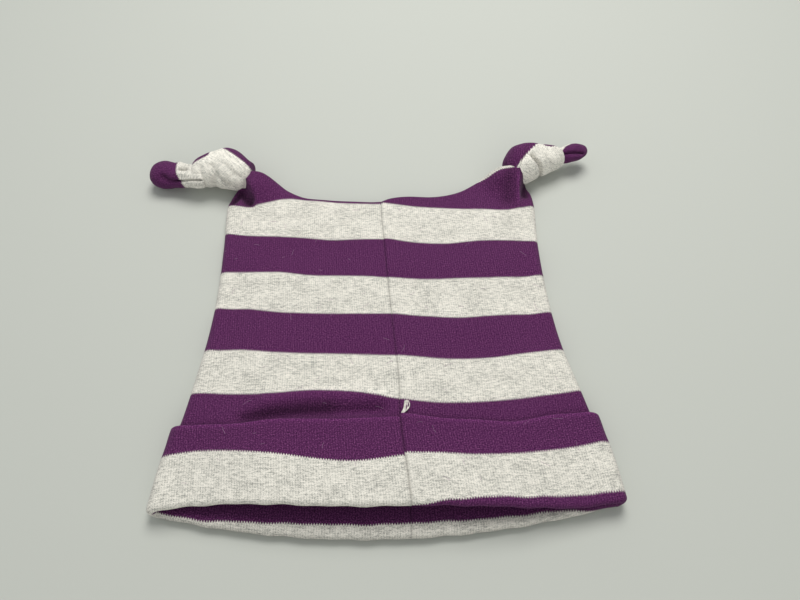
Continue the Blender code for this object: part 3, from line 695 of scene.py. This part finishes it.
def make_cuff():
    side, angle, flat, upper = COLUMNS
    hem = hem_up(side, angle, flat, upper)
    section = cuff_section()
    middle = -CROWN_CLOTH / 2
    outer = TURN_RADIUS + CUFF_CLOTH / 2
    points, arcs, rim_highlights = [], [], []
    for leg, place, outward in section:
        drop = 0.0
        rim_highlight = np.zeros(hem.shape)
        if leg == "lining":
            up = np.full(hem.shape, place * LINING_DEPTH / CROWN_HEIGHT)
            offset = np.full(hem.shape, outward)
            spread = 0.0
            arc = -math.pi * outer / 2 - up * CROWN_HEIGHT
        elif leg == "turn":
            up = np.zeros(hem.shape)
            offset = np.full(hem.shape, middle + outward * math.cos(math.radians(place)))
            drop = outward * math.sin(math.radians(place))
            spread = 0.0
            arc = np.full(hem.shape, (math.pi / 2 - math.radians(place)) * outer)
        else:
            share = 1.0 if leg == "hem" else place
            up = share * hem
            below = (hem - up) * CROWN_HEIGHT
            doubled = HEM_SWELL * (1 - smooth(below / HEM_REACH))
            faces_out = leg == "out" and outward > middle + TURN_RADIUS
            offset = np.full(hem.shape, outward) + (doubled if faces_out else 0.0)
            spread = CUFF_SPREAD * share
            # painted highlight along the hem's rolled end
            rim_highlight = HEM_PAINTED_HIGHLIGHT * bell(below, HEM_HIGHLIGHT_WIDTH)
            if leg == "hem":
                radius = (CUFF_CLOTH + HEM_SWELL) / 2
                offset = CLEARANCE + radius + radius * math.sin(math.radians(place)) + 0 * hem
                up = up + radius * math.cos(math.radians(place)) / CROWN_HEIGHT
            arc = math.pi * outer / 2 + up * CROWN_HEIGHT
        x, y, z = bag_point(up, 90.0, side, angle, flat, upper, outward=offset, relief=0.0)
        x = x + side * spread * np.cos(np.radians(angle))
        lifted = LIP_CURL * (1 - upper) * (1 - smooth((up * CROWN_HEIGHT + drop) / LIP_CURL_REACH))
        waves = np.sin(x / RIPPLE_LONG) + np.sin(x / RIPPLE_SHORT + 1)
        ripple = LIP_RIPPLE * waves * (1 - smooth(up * RIPPLE_FADE))
        points.append((x, y - drop + ripple, z + lifted * (side == 0)))
        arcs.append(arc)
        rim_highlights.append(rim_highlight)
    x, y, z = (np.array([p[axis] for p in points]) for axis in range(3))
    arc = np.array(arcs)
    up = np.clip(arc - math.pi * outer / 2, 0, None) / CROWN_HEIGHT
    beside = seam_distance(x, y, up)
    outside = np.array([leg in ("out", "hem", "turn") for leg, _, _ in section])[:, None]
    z = z - upper * (side == 0) * outside * SEAM_GROOVE_DEPTH * bell(beside, SEAM_GROOVE_WIDTH)
    lip = np.where(upper > 0.5, edge_at(UPPER_LIP_EDGE, beside), edge_at(LOWER_LIP_EDGE, beside))
    into_purple = np.maximum(arc - edge_at(CUFF_EDGE, beside), lip - arc)
    cloth = np.stack((beside + side * round_fold(SIDE_LOFT / 2, angle), arc, np.zeros(arc.shape)), axis=-1)
    faces = grid_faces(len(section), len(hem), closed_rows=True)
    # Painted highlight on the hem's rolled end, painted shade on the lower lip
    tone = np.array(rim_highlights) - LIP_PAINTED_SHADE * (1 - upper) * bell(arc, LIP_SHADE_WIDTH)
    return new_piece("cuff_cloth", to_frame(x, y, z), faces, cloth, into_purple, tone)


cuff = make_cuff()
print("cuff:", triangles(cuff), "triangles")

# %% [markdown]
# A knot in thick jersey reads as a few smooth turns with creases between them. Each is lofted along
# the ear's axis, as its solid is, and the creases are pressed in from a table: where each one lies
# along the knot, how it slants round it, and over which part of the way round it can be seen.

# %% Tables of the knots and of the ears' free ends
Ear = namedtuple("Ear", "name knot_across knot_up knot_turn_deg knot_length girth "
                        "end_across end_up end_turn_deg end_length end_girth end_rise front")
EARS = [
    Ear("left", -1.082, 1.140, 178.0, 1.00, LEFT_GIRTH, -1.261, 1.100, 165.0, 1.00, 1.00, 0.337, 1),
    Ear("right", 1.012, 1.173, 27.0, 1.03, RIGHT_GIRTH, 1.200, 1.205, 17.0, 0.62, 0.70, 0.330, -1),
]
KnotRow = namedtuple("KnotRow", "along wide high shift")
KNOT = [
    KnotRow(-0.500, 0.40, 0.46, 0.05), KnotRow(-0.485, 0.58, 0.66, 0.06), KnotRow(-0.430, 0.76, 0.86, 0.07),
    KnotRow(-0.270, 0.94, 0.98, 0.05), KnotRow(-0.120, 1.00, 1.00, 0.01), KnotRow(0.030, 0.98, 0.97, 0.00),
    KnotRow(0.170, 0.89, 0.90, 0.03), KnotRow(0.300, 0.79, 0.81, 0.07), KnotRow(0.410, 0.66, 0.69, 0.10),
    KnotRow(0.475, 0.50, 0.54, 0.12), KnotRow(0.500, 0.34, 0.38, 0.12),
]
EndRow = namedtuple("EndRow", "along wide high")
END = [
    EndRow(0.00, 0.42, 0.46), EndRow(0.03, 0.60, 0.64), EndRow(0.13, 0.70, 0.74), EndRow(0.26, 0.71, 0.76),
    EndRow(0.40, 0.75, 0.80), EndRow(0.53, 0.83, 0.86), EndRow(0.66, 0.96, 0.96), EndRow(0.78, 1.00, 1.00),
    EndRow(0.88, 0.92, 0.90), EndRow(0.95, 0.70, 0.70), EndRow(0.985, 0.44, 0.46), EndRow(1.00, 0.18, 0.20),
]
# A crease is pressed in along a line on the form, through points of (share along, degrees round): 0 is
# the front, 90 the top and 180 the back. Width and depth are in mm, and a negative depth is a bulge.
Crease = namedtuple("Crease", "points width depth")
CREASES = {
    "left_knot": [
        Crease(((-0.46, 100), (-0.43, 56), (-0.43, 20), (-0.40, -10)), 0.55, 0.7),
        Crease(((0.13, -60), (0.10, 0), (0.06, 35), (0.12, 60)), 1.8, 1.0),
        Crease(((-0.50, 125), (-0.40, 175)), 5.0, 3.4),
        Crease(((0.33, 70), (0.30, 20), (0.33, -40)), 1.0, 0.8),
        Crease(((-0.24, 36), (-0.22, 32)), 0.9, 0.5),
        Crease(((0.00, 24), (-0.16, 0), (-0.34, -24)), 1.0, 0.9),
        Crease(((-0.10, 62), (-0.34, 30)), 1.4, 0.6),
        Crease(((-0.30, 75), (-0.05, 100)), 1.0, 0.6),
        Crease(((-0.1, 150), (0.1, 200), (0.1, 260)), 1.2, 1.4),
    ],
    "right_knot": [
        Crease(((-0.115, 78), (-0.045, 44), (-0.010, 8), (0.02, -30), (0.04, -75)), 0.9, 2.6),
        Crease(((-0.22, 60), (-0.16, 10)), 2.4, -0.7),
        Crease(((0.33, 110), (0.37, 60), (0.40, 20), (0.40, -15)), 0.7, 0.6),
        Crease(((-0.42, 48), (-0.29, 80), (-0.04, 106)), 0.7, 0.6),
        Crease(((0.20, 80), (0.16, 40), (0.20, 10)), 1.3, 0.6),
        Crease(((-0.36, 120), (-0.26, 165)), 7.0, -2.0),
        Crease(((-0.25, 112), (0.04, 104)), 4.5, -1.9),
        Crease(((0.1, 150), (0.2, 200), (0.1, 260)), 1.2, 1.2),
    ],
    "left_ear_tip": [
        Crease(((0.48, 26), (0.36, 26), (0.22, 34), (0.05, 40)), 0.7, 2.0),
        Crease(((0.68, 44), (0.60, 30), (0.52, 24)), 1.8, 1.5),
        Crease(((0.395, 106), (0.455, 103)), 1.6, 4.0),
        Crease(((0.28, 140), (0.54, 136)), 2.0, -1.7),
        Crease(((0.28, 66), (0.46, 68)), 1.6, -0.8),
        Crease(((0.10, -60), (0.50, -50)), 1.2, 0.9),
        Crease(((0.10, 170), (0.60, 165)), 1.2, 1.0),
    ],
    "right_ear_tip": [
        Crease(((0.14, 66), (0.34, 62), (0.50, 55), (0.62, 48), (0.72, 41), (0.80, 31)), 0.7, 1.6),
        Crease(((0.46, 90), (0.75, 84)), 2.2, -0.7),
        Crease(((0.50, 20), (0.72, 14)), 2.0, -0.5),
        Crease(((0.30, 160), (0.80, 175)), 1.0, 0.9),
    ],
}
# A form is purple beyond one of its planes, or beyond all the planes of one group. A plane has a facing
# in the frame's axes and a distance from the form's middle, in mm.
Plane = namedtuple("Plane", "east north high distance")
PURPLE = {
    "left_knot": [
        [Plane(0.62, 0.74, 0.25, 7.0)],
        [Plane(-0.50, 0.75, 0.40, 7.8), Plane(-1.0, 0.0, 0.0, 6.5)],
    ],
    "right_knot": [
        [Plane(-0.77, 0.64, 0.0, 1.6)],
        [Plane(-0.15, 0.95, 0.30, 5.6), Plane(0.90, 0.40, 0.0, 7.2)],
    ],
}
LUMPS = 0.12 * MM  # height of the soft bumps all over a tied or rolled form
KNOT_PAINTED_LIGHT = 0.20  # painted light: the grey of the tied turns is made lighter
KNOT_SHADE, END_SHADE = 0.22, 0.35  # painted shade: how much darker the bottom of a crease is
FULL_CREASE = 2.0 * MM  # a crease as deep as this is shaded in full


def pressed_in(creases, along, round_deg, length, radius):
    """Depth of all creases over a lofted form. length and radius turn shares and degrees to metres."""
    depth = np.zeros(np.broadcast(along, round_deg).shape)
    turn = 2 * math.pi * radius
    for crease in creases:
        points = [(share * length, degrees / 360 * turn) for share, degrees in crease.points]
        gaps = [line_distance(along * length, (round_deg / 360 + lap) * turn, points) for lap in (-1, 0, 1)]
        depth = depth + crease.depth * MM * bell(np.minimum.reduce(gaps), crease.width * MM)
    lumps = np.sin(along * 13 + np.radians(round_deg)) * np.sin(np.radians(2 * round_deg) + along * 5)
    return depth + LUMPS * (lumps + 0.6 * np.sin(along * 23 - np.radians(3 * round_deg)))


print("creases pressed in:", {name: len(rows) for name, rows in CREASES.items()})

# %% [markdown]
# Each knot is a closed form over rings of points, set where its solid sits. The cloth is wound on at a
# slant, so its wales cross the knot at 45 degrees. Where the corner of the cap that was tied is purple,
# planes through the knot part that colour from the grey.

# %% The knots
OFF_SEAM = 300 * MM  # keeps the knots' cloth away from the front seam's line at 0
KNOT_ROWS, KNOT_SIDES = 96, 120
WINDING_DEG = 45  # between the wales and the knot's length
WINDING_REACH = 0.45  # distance round the cloth for each radian, as a share of the knot's width
KNOT_FRONT = {"left_knot": 1.0, "right_knot": 0.80}  # share of the width that the front half keeps


def place_matrix(across, up, turn_deg, rise):
    x, y = plan(across, up)
    at = Matrix.Translation((x + DRAWING_ORIGIN.x, y + DRAWING_ORIGIN.y, rise))
    return np.array(at @ Matrix.Rotation(math.radians(turn_deg), 4, "Z"))


def placed(matrix, x, y, z):
    local = np.stack((x, y, z, np.ones(np.shape(x))), axis=-1)
    return (local @ matrix.T)[..., :3]


def facing_of(plane):
    return np.array(Vector((plane.east, plane.north, plane.high)).normalized())


def loft_piece(name, rows, cloth, stripe, tone=None):
    """A closed form over rings of points, with a fan at each end."""
    count, sides = rows.shape[:2]
    points = rows.reshape(-1, 3)
    ends = np.array([rows[0].mean(0), rows[-1].mean(0)])
    faces = grid_faces(count, sides)
    first, last = count * sides, count * sides + 1
    for j in range(sides):
        k = (j + 1) % sides
        faces.append((first, k, j))
        faces.append((last, (count - 1) * sides + j, (count - 1) * sides + k))
    points = np.concatenate((points, ends))
    cloth = np.concatenate((cloth.reshape(-1, 3), cloth[0].mean(0)[None], cloth[-1].mean(0)[None]))
    stripe = np.concatenate((stripe.ravel(), [stripe[0].mean(), stripe[-1].mean()]))
    if tone is not None:
        tone = np.concatenate((tone.ravel(), [tone[0].mean(), tone[-1].mean()]))
    piece = new_piece(name, points, faces, cloth, stripe, tone)
    bm = bmesh.new()
    bm.from_mesh(piece.data)
    bmesh.ops.recalc_face_normals(bm, faces=bm.faces)
    bm.to_mesh(piece.data)
    bm.free()
    piece.data.shade_smooth()
    return piece


def make_knot(ear):
    name = ear.name + "_knot"
    length, width = KNOT_LENGTH * ear.knot_length, KNOT_WIDTH * ear.girth
    table = np.array(KNOT)
    even = np.linspace(-1, 1, KNOT_ROWS)
    along = (0.5 * np.sin(np.pi / 2 * even))[:, None]
    around = np.linspace(0, 2 * np.pi, KNOT_SIDES, endpoint=False)[None, :]
    wide, high, shift = (curve_at(table[:, 0], table[:, k], along) for k in (1, 2, 3))
    round_deg = np.degrees(around) if ear.front > 0 else 180 - np.degrees(around)
    pressed = pressed_in(CREASES[name], along, round_deg, length, width / 2)
    reach = 1 - pressed / (knot_rise(ear.girth))
    x = along * length + 0 * around
    slim = np.where(ear.front * np.cos(around) > 0, KNOT_FRONT[name], 1.0)
    y = np.cos(around) * wide * reach * slim * width / 2 + shift * width * ear.front
    z = np.sin(around) * high * reach * knot_rise(ear.girth)
    place = place_matrix(ear.knot_across, ear.knot_up, ear.knot_turn_deg, knot_rise(ear.girth))
    rows = placed(place, x, y, z)
    middle = place[:3, 3]
    away = rows - middle
    stripe = np.full(x.shape, -1.0)
    for group in PURPLE[name]:
        sides = [away @ facing_of(plane) - plane.distance * MM for plane in group]
        stripe = np.maximum(stripe, np.minimum.reduce(sides))
    # The cloth is wound on at a slant, and its two ends meet underneath
    wound = np.where(around < 1.5 * np.pi, around, around - 2 * np.pi) * width * WINDING_REACH
    slant = math.radians(WINDING_DEG)
    wale = x * math.sin(slant) + wound * math.cos(slant)
    course = x * math.cos(slant) - wound * math.sin(slant)
    cloth = np.stack((wale + OFF_SEAM, course, 0 * x), axis=-1)
    # Painted light on the grey turns, painted shade down in the creases
    tone = np.where(stripe > 0, 0.0, KNOT_PAINTED_LIGHT) - KNOT_SHADE * np.clip(pressed / FULL_CREASE, 0, 1)
    return loft_piece(name + "_cloth", rows, cloth, stripe, tone)


knots = [make_knot(ear) for ear in EARS]
for knot in knots:
    print(knot.name, triangles(knot), "triangles")

# %% [markdown]
# The free end of each ear is the corner of the cap, rolled up and pulled through. It has two or three
# lobes along it, a fold between them and a rounded bulb, pressed in the same way as the knots' creases.

# %% The ears' free ends
END_ROWS, END_SIDES = 72, 90
END_COLOUR_EDGE = {"left_ear_tip": 0.46, "right_ear_tip": 0.52}  # purple beyond this share of the length
END_COLOUR_SLANT = {"left_ear_tip": 0.12, "right_ear_tip": 0.40}
END_COLOUR_TURN_DEG = {"left_ear_tip": 60, "right_ear_tip": 115}
END_LIFT = {"left_ear_tip": 0.0, "right_ear_tip": 2.7 * MM}
END_SWELL = {"left_ear_tip": 1.0, "right_ear_tip": 0.93}
END_FULLNESS = {"left_ear_tip": 1.0, "right_ear_tip": 0.5}  # below 1 the bulb begins sooner


def make_end(ear):
    name = ear.name + "_ear_tip"
    whole = END_GRIP + END_LENGTH * ear.end_length
    table = np.array(END)
    even = np.linspace(0, 1, END_ROWS)
    along = mix(even, np.sin(np.pi / 2 * even), 0.6)[:, None]
    around = np.linspace(0, 2 * np.pi, END_SIDES, endpoint=False)[None, :]
    wide, high = (curve_at(table[:, 0], table[:, k], along ** END_FULLNESS[name]) for k in (1, 2))
    round_deg = np.degrees(around) if ear.front > 0 else 180 - np.degrees(around)
    girth = ear.end_girth * END_SWELL[name]
    depth = pressed_in(CREASES[name], along, round_deg, whole, END_WIDTH * girth / 2)
    reach = 1 - depth / (END_THICKNESS * girth / 2)
    x = along * whole - END_GRIP + 0 * around
    droop = KNOT_HEIGHT * ear.end_rise - knot_rise(ear.girth) + END_LIFT[name]
    y = np.cos(around) * wide * reach * END_WIDTH * girth / 2
    z = np.sin(around) * high * reach * END_THICKNESS * girth / 2 + droop * smooth(1.3 * along)
    place = place_matrix(ear.end_across, ear.end_up, ear.end_turn_deg, knot_rise(ear.girth))
    rows = placed(place, x, y, z)
    slant = END_COLOUR_SLANT[name] * np.sin(np.radians(round_deg - END_COLOUR_TURN_DEG[name]))
    stripe = (along - slant - END_COLOUR_EDGE[name]) * whole
    cloth = np.stack((np.broadcast_to(around * END_WIDTH / 2, x.shape) + OFF_SEAM, x, 0 * x), axis=-1)
    # Painted light, half as strong, on the grey, painted shade down in the creases
    tone = np.where(stripe > 0, 0.0, KNOT_PAINTED_LIGHT / 2) - END_SHADE * np.clip(depth / FULL_CREASE, 0, 1)
    return loft_piece(name + "_cloth", rows, cloth, stripe, tone)


ends = [make_end(ear) for ear in EARS]
for end in ends:
    print(end.name, triangles(end), "triangles")

# %% [markdown]
# The scrap of seam over the cuff is a narrow strip of the seam allowance that curls over: a pale leaf,
# 6 mm long, with thick rims and a dark hollow between them. It lies on the crown's cloth, so its points
# are set at heights over that cloth, which a ray from above finds.

# %% The seam's tab
TAB_ROWS, TAB_SIDES = 30, 28
# y and the two sides' x in mm of the drawing, from the tip by the hem up to the root
TAB_OUTLINE = (
    (33.0, 8.4, 8.9), (34.0, 8.5, 9.9), (35.3, 9.1, 11.2),
    (36.7, 9.5, 11.9), (38.0, 9.6, 12.0), (39.2, 9.7, 11.6),
)
TAB_RIM, TAB_FLOOR = 0.75 * MM, 0.30 * MM  # half the thickness at the rims and in the hollow
crown_tree = BVHTree.FromObject(crown, bpy.context.evaluated_depsgraph_get())


def cloth_height(x, y):
    """z of the crown's upper skin under a place in the frame."""
    return crown_tree.ray_cast((x, y, 0.1), (0, 0, -1))[0].z


def make_tab():
    table = np.array(TAB_OUTLINE) * MM
    share = np.linspace(0, 1, TAB_ROWS)[:, None]
    around = np.linspace(0, 2 * np.pi, TAB_SIDES, endpoint=False)[None, :]
    y, left, right = (curve_at(np.linspace(0, 1, len(table)), table[:, k], share) for k in range(3))
    x = (left + right) / 2 + np.cos(around) * (right - left) / 2
    rim = np.abs(np.cos(around)) ** 1.5
    hollow = np.sin(np.pi * np.clip(share * 1.1, 0, 1))
    thick = mix(TAB_RIM, TAB_FLOOR, hollow * (1 - rim))
    base = np.array([cloth_height(float(cx) + DRAWING_ORIGIN.x, float(cy) + DRAWING_ORIGIN.y)
                     for cx, cy in zip((left + right)[:, 0] / 2, y[:, 0])])[:, None]
    z = base + TAB_RIM * 0.8 + np.sin(around) * thick + 0.3 * MM * rim * hollow
    rows = to_frame(x, y + 0 * around, z)
    inside = bell(np.cos(around) - 0.25, 0.42) * bell(share - 0.68, 0.30) * (np.sin(around) > 0)
    stripe = (inside - 0.62) * 1.0 * MM
    cloth = np.stack((x + OFF_SEAM, y + 0 * around, 0 * x), axis=-1)
    return loft_piece("seam_tab_cloth", rows, cloth, stripe)


tab = make_tab()
print("tab:", triangles(tab), "triangles")

# %% [markdown]
# Cotton single jersey is knitted on fine needles: columns of small V-shaped loops, the wales, about
# 1 mm apart here, and rows of them, the courses. It is matt, with a faint bloom of loose fibre. The
# grey is a marl: pale and dark fibres spun together, so it is full of short streaks along the courses.
# The purple is dyed through and shows only its loops and some lint. One material does both colours: it
# reads the distance into the purple, and shifts it in and out with each wale, which gives the edges
# their fine teeth.

# %% Cotton marl single jersey, knitted
WALE = 1.0 * MM  # from one column of loops to the next
COURSE = 0.8 * MM  # from one row to the next
TEETH = 0.95 * MM  # how far a loop of one colour reaches into the other
EDGE_BLEND = 0.07 * MM  # half the width over which the two colours blend
FLECK_LENGTH, FLECK_HEIGHT = 2.6 * MM, 0.8 * MM  # streaks of the marl
SEAM_LINE = 0.85 * MM  # half the width of the dark line in the front seam
SEAM_DARK = 0.68  # how light the middle of that line is
LOOP_LEAN = 0.55  # how far a row of loops dips from a wale's edge to its middle, in courses
COTTON = {
    "Roughness": 0.93, "IOR": 1.53, "Specular IOR Level": 0.18,
    "Sheen Weight": 0.08, "Sheen Roughness": 0.55, "Sheen Tint": linear("#D9B8D8"),
}


def cotton_jersey(name):
    """Matt knitted cotton: the eye gets ribs 1 mm apart, streaky grey and a soft dark purple."""
    material = bpy.data.materials.new(name)
    material.use_nodes = True
    tree = material.node_tree
    shader = tree.nodes["Principled BSDF"]
    for socket, value in COTTON.items():
        shader.inputs[socket].default_value = value

    def attribute(name, output):
        return add_node(tree, "ShaderNodeAttribute", {"attribute_name": name}).outputs[output]

    cloth = attribute("cloth", "Vector")
    stripe = attribute("stripe", "Fac")
    split = add_node(tree, "ShaderNodeSeparateXYZ", None, {0: cloth})

    def maths(operation, first, second=None):
        """One Math node; a number fills its socket and an output is linked."""
        node = add_node(tree, "ShaderNodeMath", {"operation": operation})
        for slot, value in enumerate((first, second)):
            if isinstance(value, (int, float)):
                node.inputs[slot].default_value = value
            elif value is not None:
                tree.links.new(value, node.inputs[slot])
        return node.outputs[0]

    def weigh(*parts):
        """The sum of values, each times its weight."""
        terms = [maths("MULTIPLY", value, weight) for value, weight in parts]
        total = terms[0]
        for term in terms[1:]:
            total = maths("ADD", total, term)
        return total

    def noise(wide, high, detail, rough=0.5):
        """Noise in the cloth's own plane, with grains of about the given width and height."""
        stretch = (1 / wide, 1 / high, 1.0)
        mapped = add_node(tree, "ShaderNodeVectorMath", {"operation": "MULTIPLY", 1: stretch}, {0: cloth})
        return add_node(tree, "ShaderNodeTexNoise", {"Scale": 1.0, "Detail": detail, "Roughness": rough},
                        {"Vector": mapped.outputs[0]}).outputs["Fac"]

    def ramp(value, stops):
        node = add_node(tree, "ShaderNodeValToRGB", None, {0: value})
        elements = node.color_ramp.elements
        while len(elements) < len(stops):
            elements.new(0.5)
        for element, (position, colour) in zip(elements, stops):
            element.position = position
            element.color = colour
        return node.outputs["Color"]

    # Loops: a tent across each wale, and a V made by shifting the courses along it
    wale = maths("PINGPONG", maths("DIVIDE", split.outputs["X"], WALE), 0.5)
    wale = maths("MULTIPLY", wale, 2.0)
    shifted = maths("ADD", maths("DIVIDE", split.outputs["Y"], COURSE), maths("MULTIPLY", wale, LOOP_LEAN))
    course = maths("MULTIPLY", maths("PINGPONG", shifted, 0.5), 2.0)
    loops = weigh((maths("POWER", wale, 0.6), 0.62), (course, 0.38))

    fine = noise(0.5 * MM, 0.5 * MM, 2.0)
    toothed = maths("ADD", stripe, maths("MULTIPLY", maths("SUBTRACT", wale, 0.5), TEETH))
    toothed = maths("ADD", toothed, maths("MULTIPLY", maths("SUBTRACT", fine, 0.5), 0.5 * MM))
    blend = {"interpolation_type": "SMOOTHSTEP", "From Min": -EDGE_BLEND, "From Max": EDGE_BLEND}
    in_purple = add_node(tree, "ShaderNodeMapRange", blend, {"Value": toothed}).outputs[0]

    # Grey: streaks, then a finer broken grain, then slow drifts of tone
    streaks = noise(FLECK_LENGTH, FLECK_HEIGHT, 2.5, 0.65)
    grain = noise(0.9 * MM, 0.45 * MM, 2.0)
    specks = noise(0.42 * MM, 0.42 * MM, 1.0)
    drift = noise(11 * MM, 6 * MM, 1.0)
    # The loops' share in the grey and in the purple is painted shade, darker in the valleys between the
    # stitches
    marl = weigh((streaks, 0.44), (grain, 0.24), (specks, 0.32), (drift, 0.14), (loops, 0.12))
    grey = ramp(marl, [(0.52, linear("#9A9A95")), (0.60, linear("#C4C2BB")), (0.68, linear("#E0DDD5")),
                       (0.82, linear("#F5F0E8"))])
    shade = weigh((fine, 0.30), (specks, 0.38), (loops, 0.10), (grain, 0.22))
    purple = ramp(shade, [(0.37, linear("#270829")), (0.50, linear("#4B1A4A")), (0.63, linear("#7C4375"))])
    colour = add_node(tree, "ShaderNodeMix", {"data_type": "RGBA"}, {"Factor": in_purple})
    tree.links.new(grey, colour.inputs[6])
    tree.links.new(purple, colour.inputs[7])
    # The front seam: its two cloths turn in and darken towards the stitches
    from_seam = maths("ABSOLUTE", split.outputs["X"])
    seam_light = {"From Max": SEAM_LINE, "To Min": SEAM_DARK}
    lit = add_node(tree, "ShaderNodeMapRange", seam_light, {"Value": from_seam}).outputs[0]
    # The stored shading is painted shade and painted highlight, multiplied into the colour here
    lit = maths("MULTIPLY", lit, maths("ADD", attribute("tone", "Fac"), 1.0))
    scaled = {0: colour.outputs[2], "Scale": lit}
    seamed = add_node(tree, "ShaderNodeVectorMath", {"operation": "SCALE"}, scaled)
    tree.links.new(seamed.outputs[0], shader.inputs["Base Color"])

    relief = weigh((loops, 0.55), (specks, 0.22), (fine, 0.23))
    bump = add_node(tree, "ShaderNodeBump", {"Strength": 0.45, "Distance": 0.35 * MM}, {"Height": relief})
    tree.links.new(bump.outputs[0], shader.inputs["Normal"])
    return material


jersey = cotton_jersey("cotton marl single jersey, knitted")
crown.data.materials.append(jersey)
for piece in [cuff, tab] + knots + ends:
    piece.data.materials.append(jersey)
print("material nodes:", len(jersey.node_tree.nodes))

# %% [markdown]
# Loose pale fibres cling to dark cotton. Each is a hair of a few millimetres that bends one way and
# lies on the cloth. They are thin three-sided tubes, set on the skin by rays from above. Their places
# are random draws from a fixed seed, so each run gives the same ones.

# %% Lint
LINT_COUNT, LINT_STEPS, LINT_SIDES = 70, 7, 3
LINT_RADIUS = 0.045 * MM
LINT_SHORTEST, LINT_LONGEST = 1.5, 5.0  # mm
LINT_FIELD_X, LINT_FIELD_Y = (-0.075, 0.085), (-0.085, 0.06)  # metres, in the frame
LINT_BEND = 1.3  # radians, at most, from end to end
LOWEST_LINT = 2 * MM  # a fibre that would touch the table is left out
STEEPEST_LINT = 0.5 * MM  # and so is one that would span a step in the cloth
random = np.random.default_rng(7)


def make_lint():
    graph = bpy.context.evaluated_depsgraph_get()
    trees = [BVHTree.FromObject(piece, graph) for piece in (crown, cuff)]
    points, faces = [], []
    while len(points) < LINT_COUNT * LINT_STEPS * LINT_SIDES:
        start_x, start_y = random.uniform(*LINT_FIELD_X), random.uniform(*LINT_FIELD_Y)
        heading, bend = random.uniform(0, 2 * math.pi), random.uniform(-LINT_BEND, LINT_BEND)
        length = random.uniform(LINT_SHORTEST, LINT_LONGEST) * MM
        spine = []
        for step in range(LINT_STEPS):
            turn = heading + bend * step / LINT_STEPS
            start_x += math.cos(turn) * length / LINT_STEPS
            start_y += math.sin(turn) * length / LINT_STEPS
            hits = [tree.ray_cast((start_x, start_y, 0.1), (0, 0, -1))[0] for tree in trees]
            heights = [hit.z for hit in hits if hit]
            spine.append((start_x, start_y, max(heights, default=0.0)))
        jumps = [abs(a[2] - b[2]) for a, b in zip(spine, spine[1:])]
        if min(s[2] for s in spine) < LOWEST_LINT or max(jumps) > STEEPEST_LINT:
            continue
        first = len(points)
        for x, y, z in spine:
            for corner in range(LINT_SIDES):
                angle = 2 * math.pi * corner / LINT_SIDES
                points.append((x + LINT_RADIUS * math.cos(angle), y + LINT_RADIUS * math.cos(angle - 1),
                               z + LINT_RADIUS * (1.4 + math.sin(angle))))
        for step in range(LINT_STEPS - 1):
            ring = first + step * LINT_SIDES
            for corner in range(LINT_SIDES):
                a, b = ring + corner, ring + (corner + 1) % LINT_SIDES
                faces.append((a, b, b + LINT_SIDES, a + LINT_SIDES))
    mesh = bpy.data.meshes.new("lint")
    mesh.from_pydata(points, [], faces)
    mesh.materials.append(plain_material("loose cotton fibre", "#A382A1", 0.8))
    return add_object("lint", mesh)


lint = make_lint()
print("lint:", triangles(lint), "triangles")

# %% [markdown]
# Last, the bookkeeping. Each piece of cloth rides on the cap's one body and hides the plain solid that it
# stands for.

# %% Hand the pieces to the frame
DRESSED = [
    (crown, "crown", "striped_jersey"),
    (cuff, "cuff", "cuff_jersey"),
    (knots[0], "left_knot", "knot_jersey"),
    (knots[1], "right_knot", "knot_jersey"),
    (ends[0], "left_ear_tip", "ear_tip_jersey"),
    (ends[1], "right_ear_tip", "ear_tip_jersey"),
    (tab, "seam_tab", "seam_tab_jersey"),
]
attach(lint, "root")
for piece, node, slot in DRESSED:
    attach(piece, "root")
    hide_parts(node)
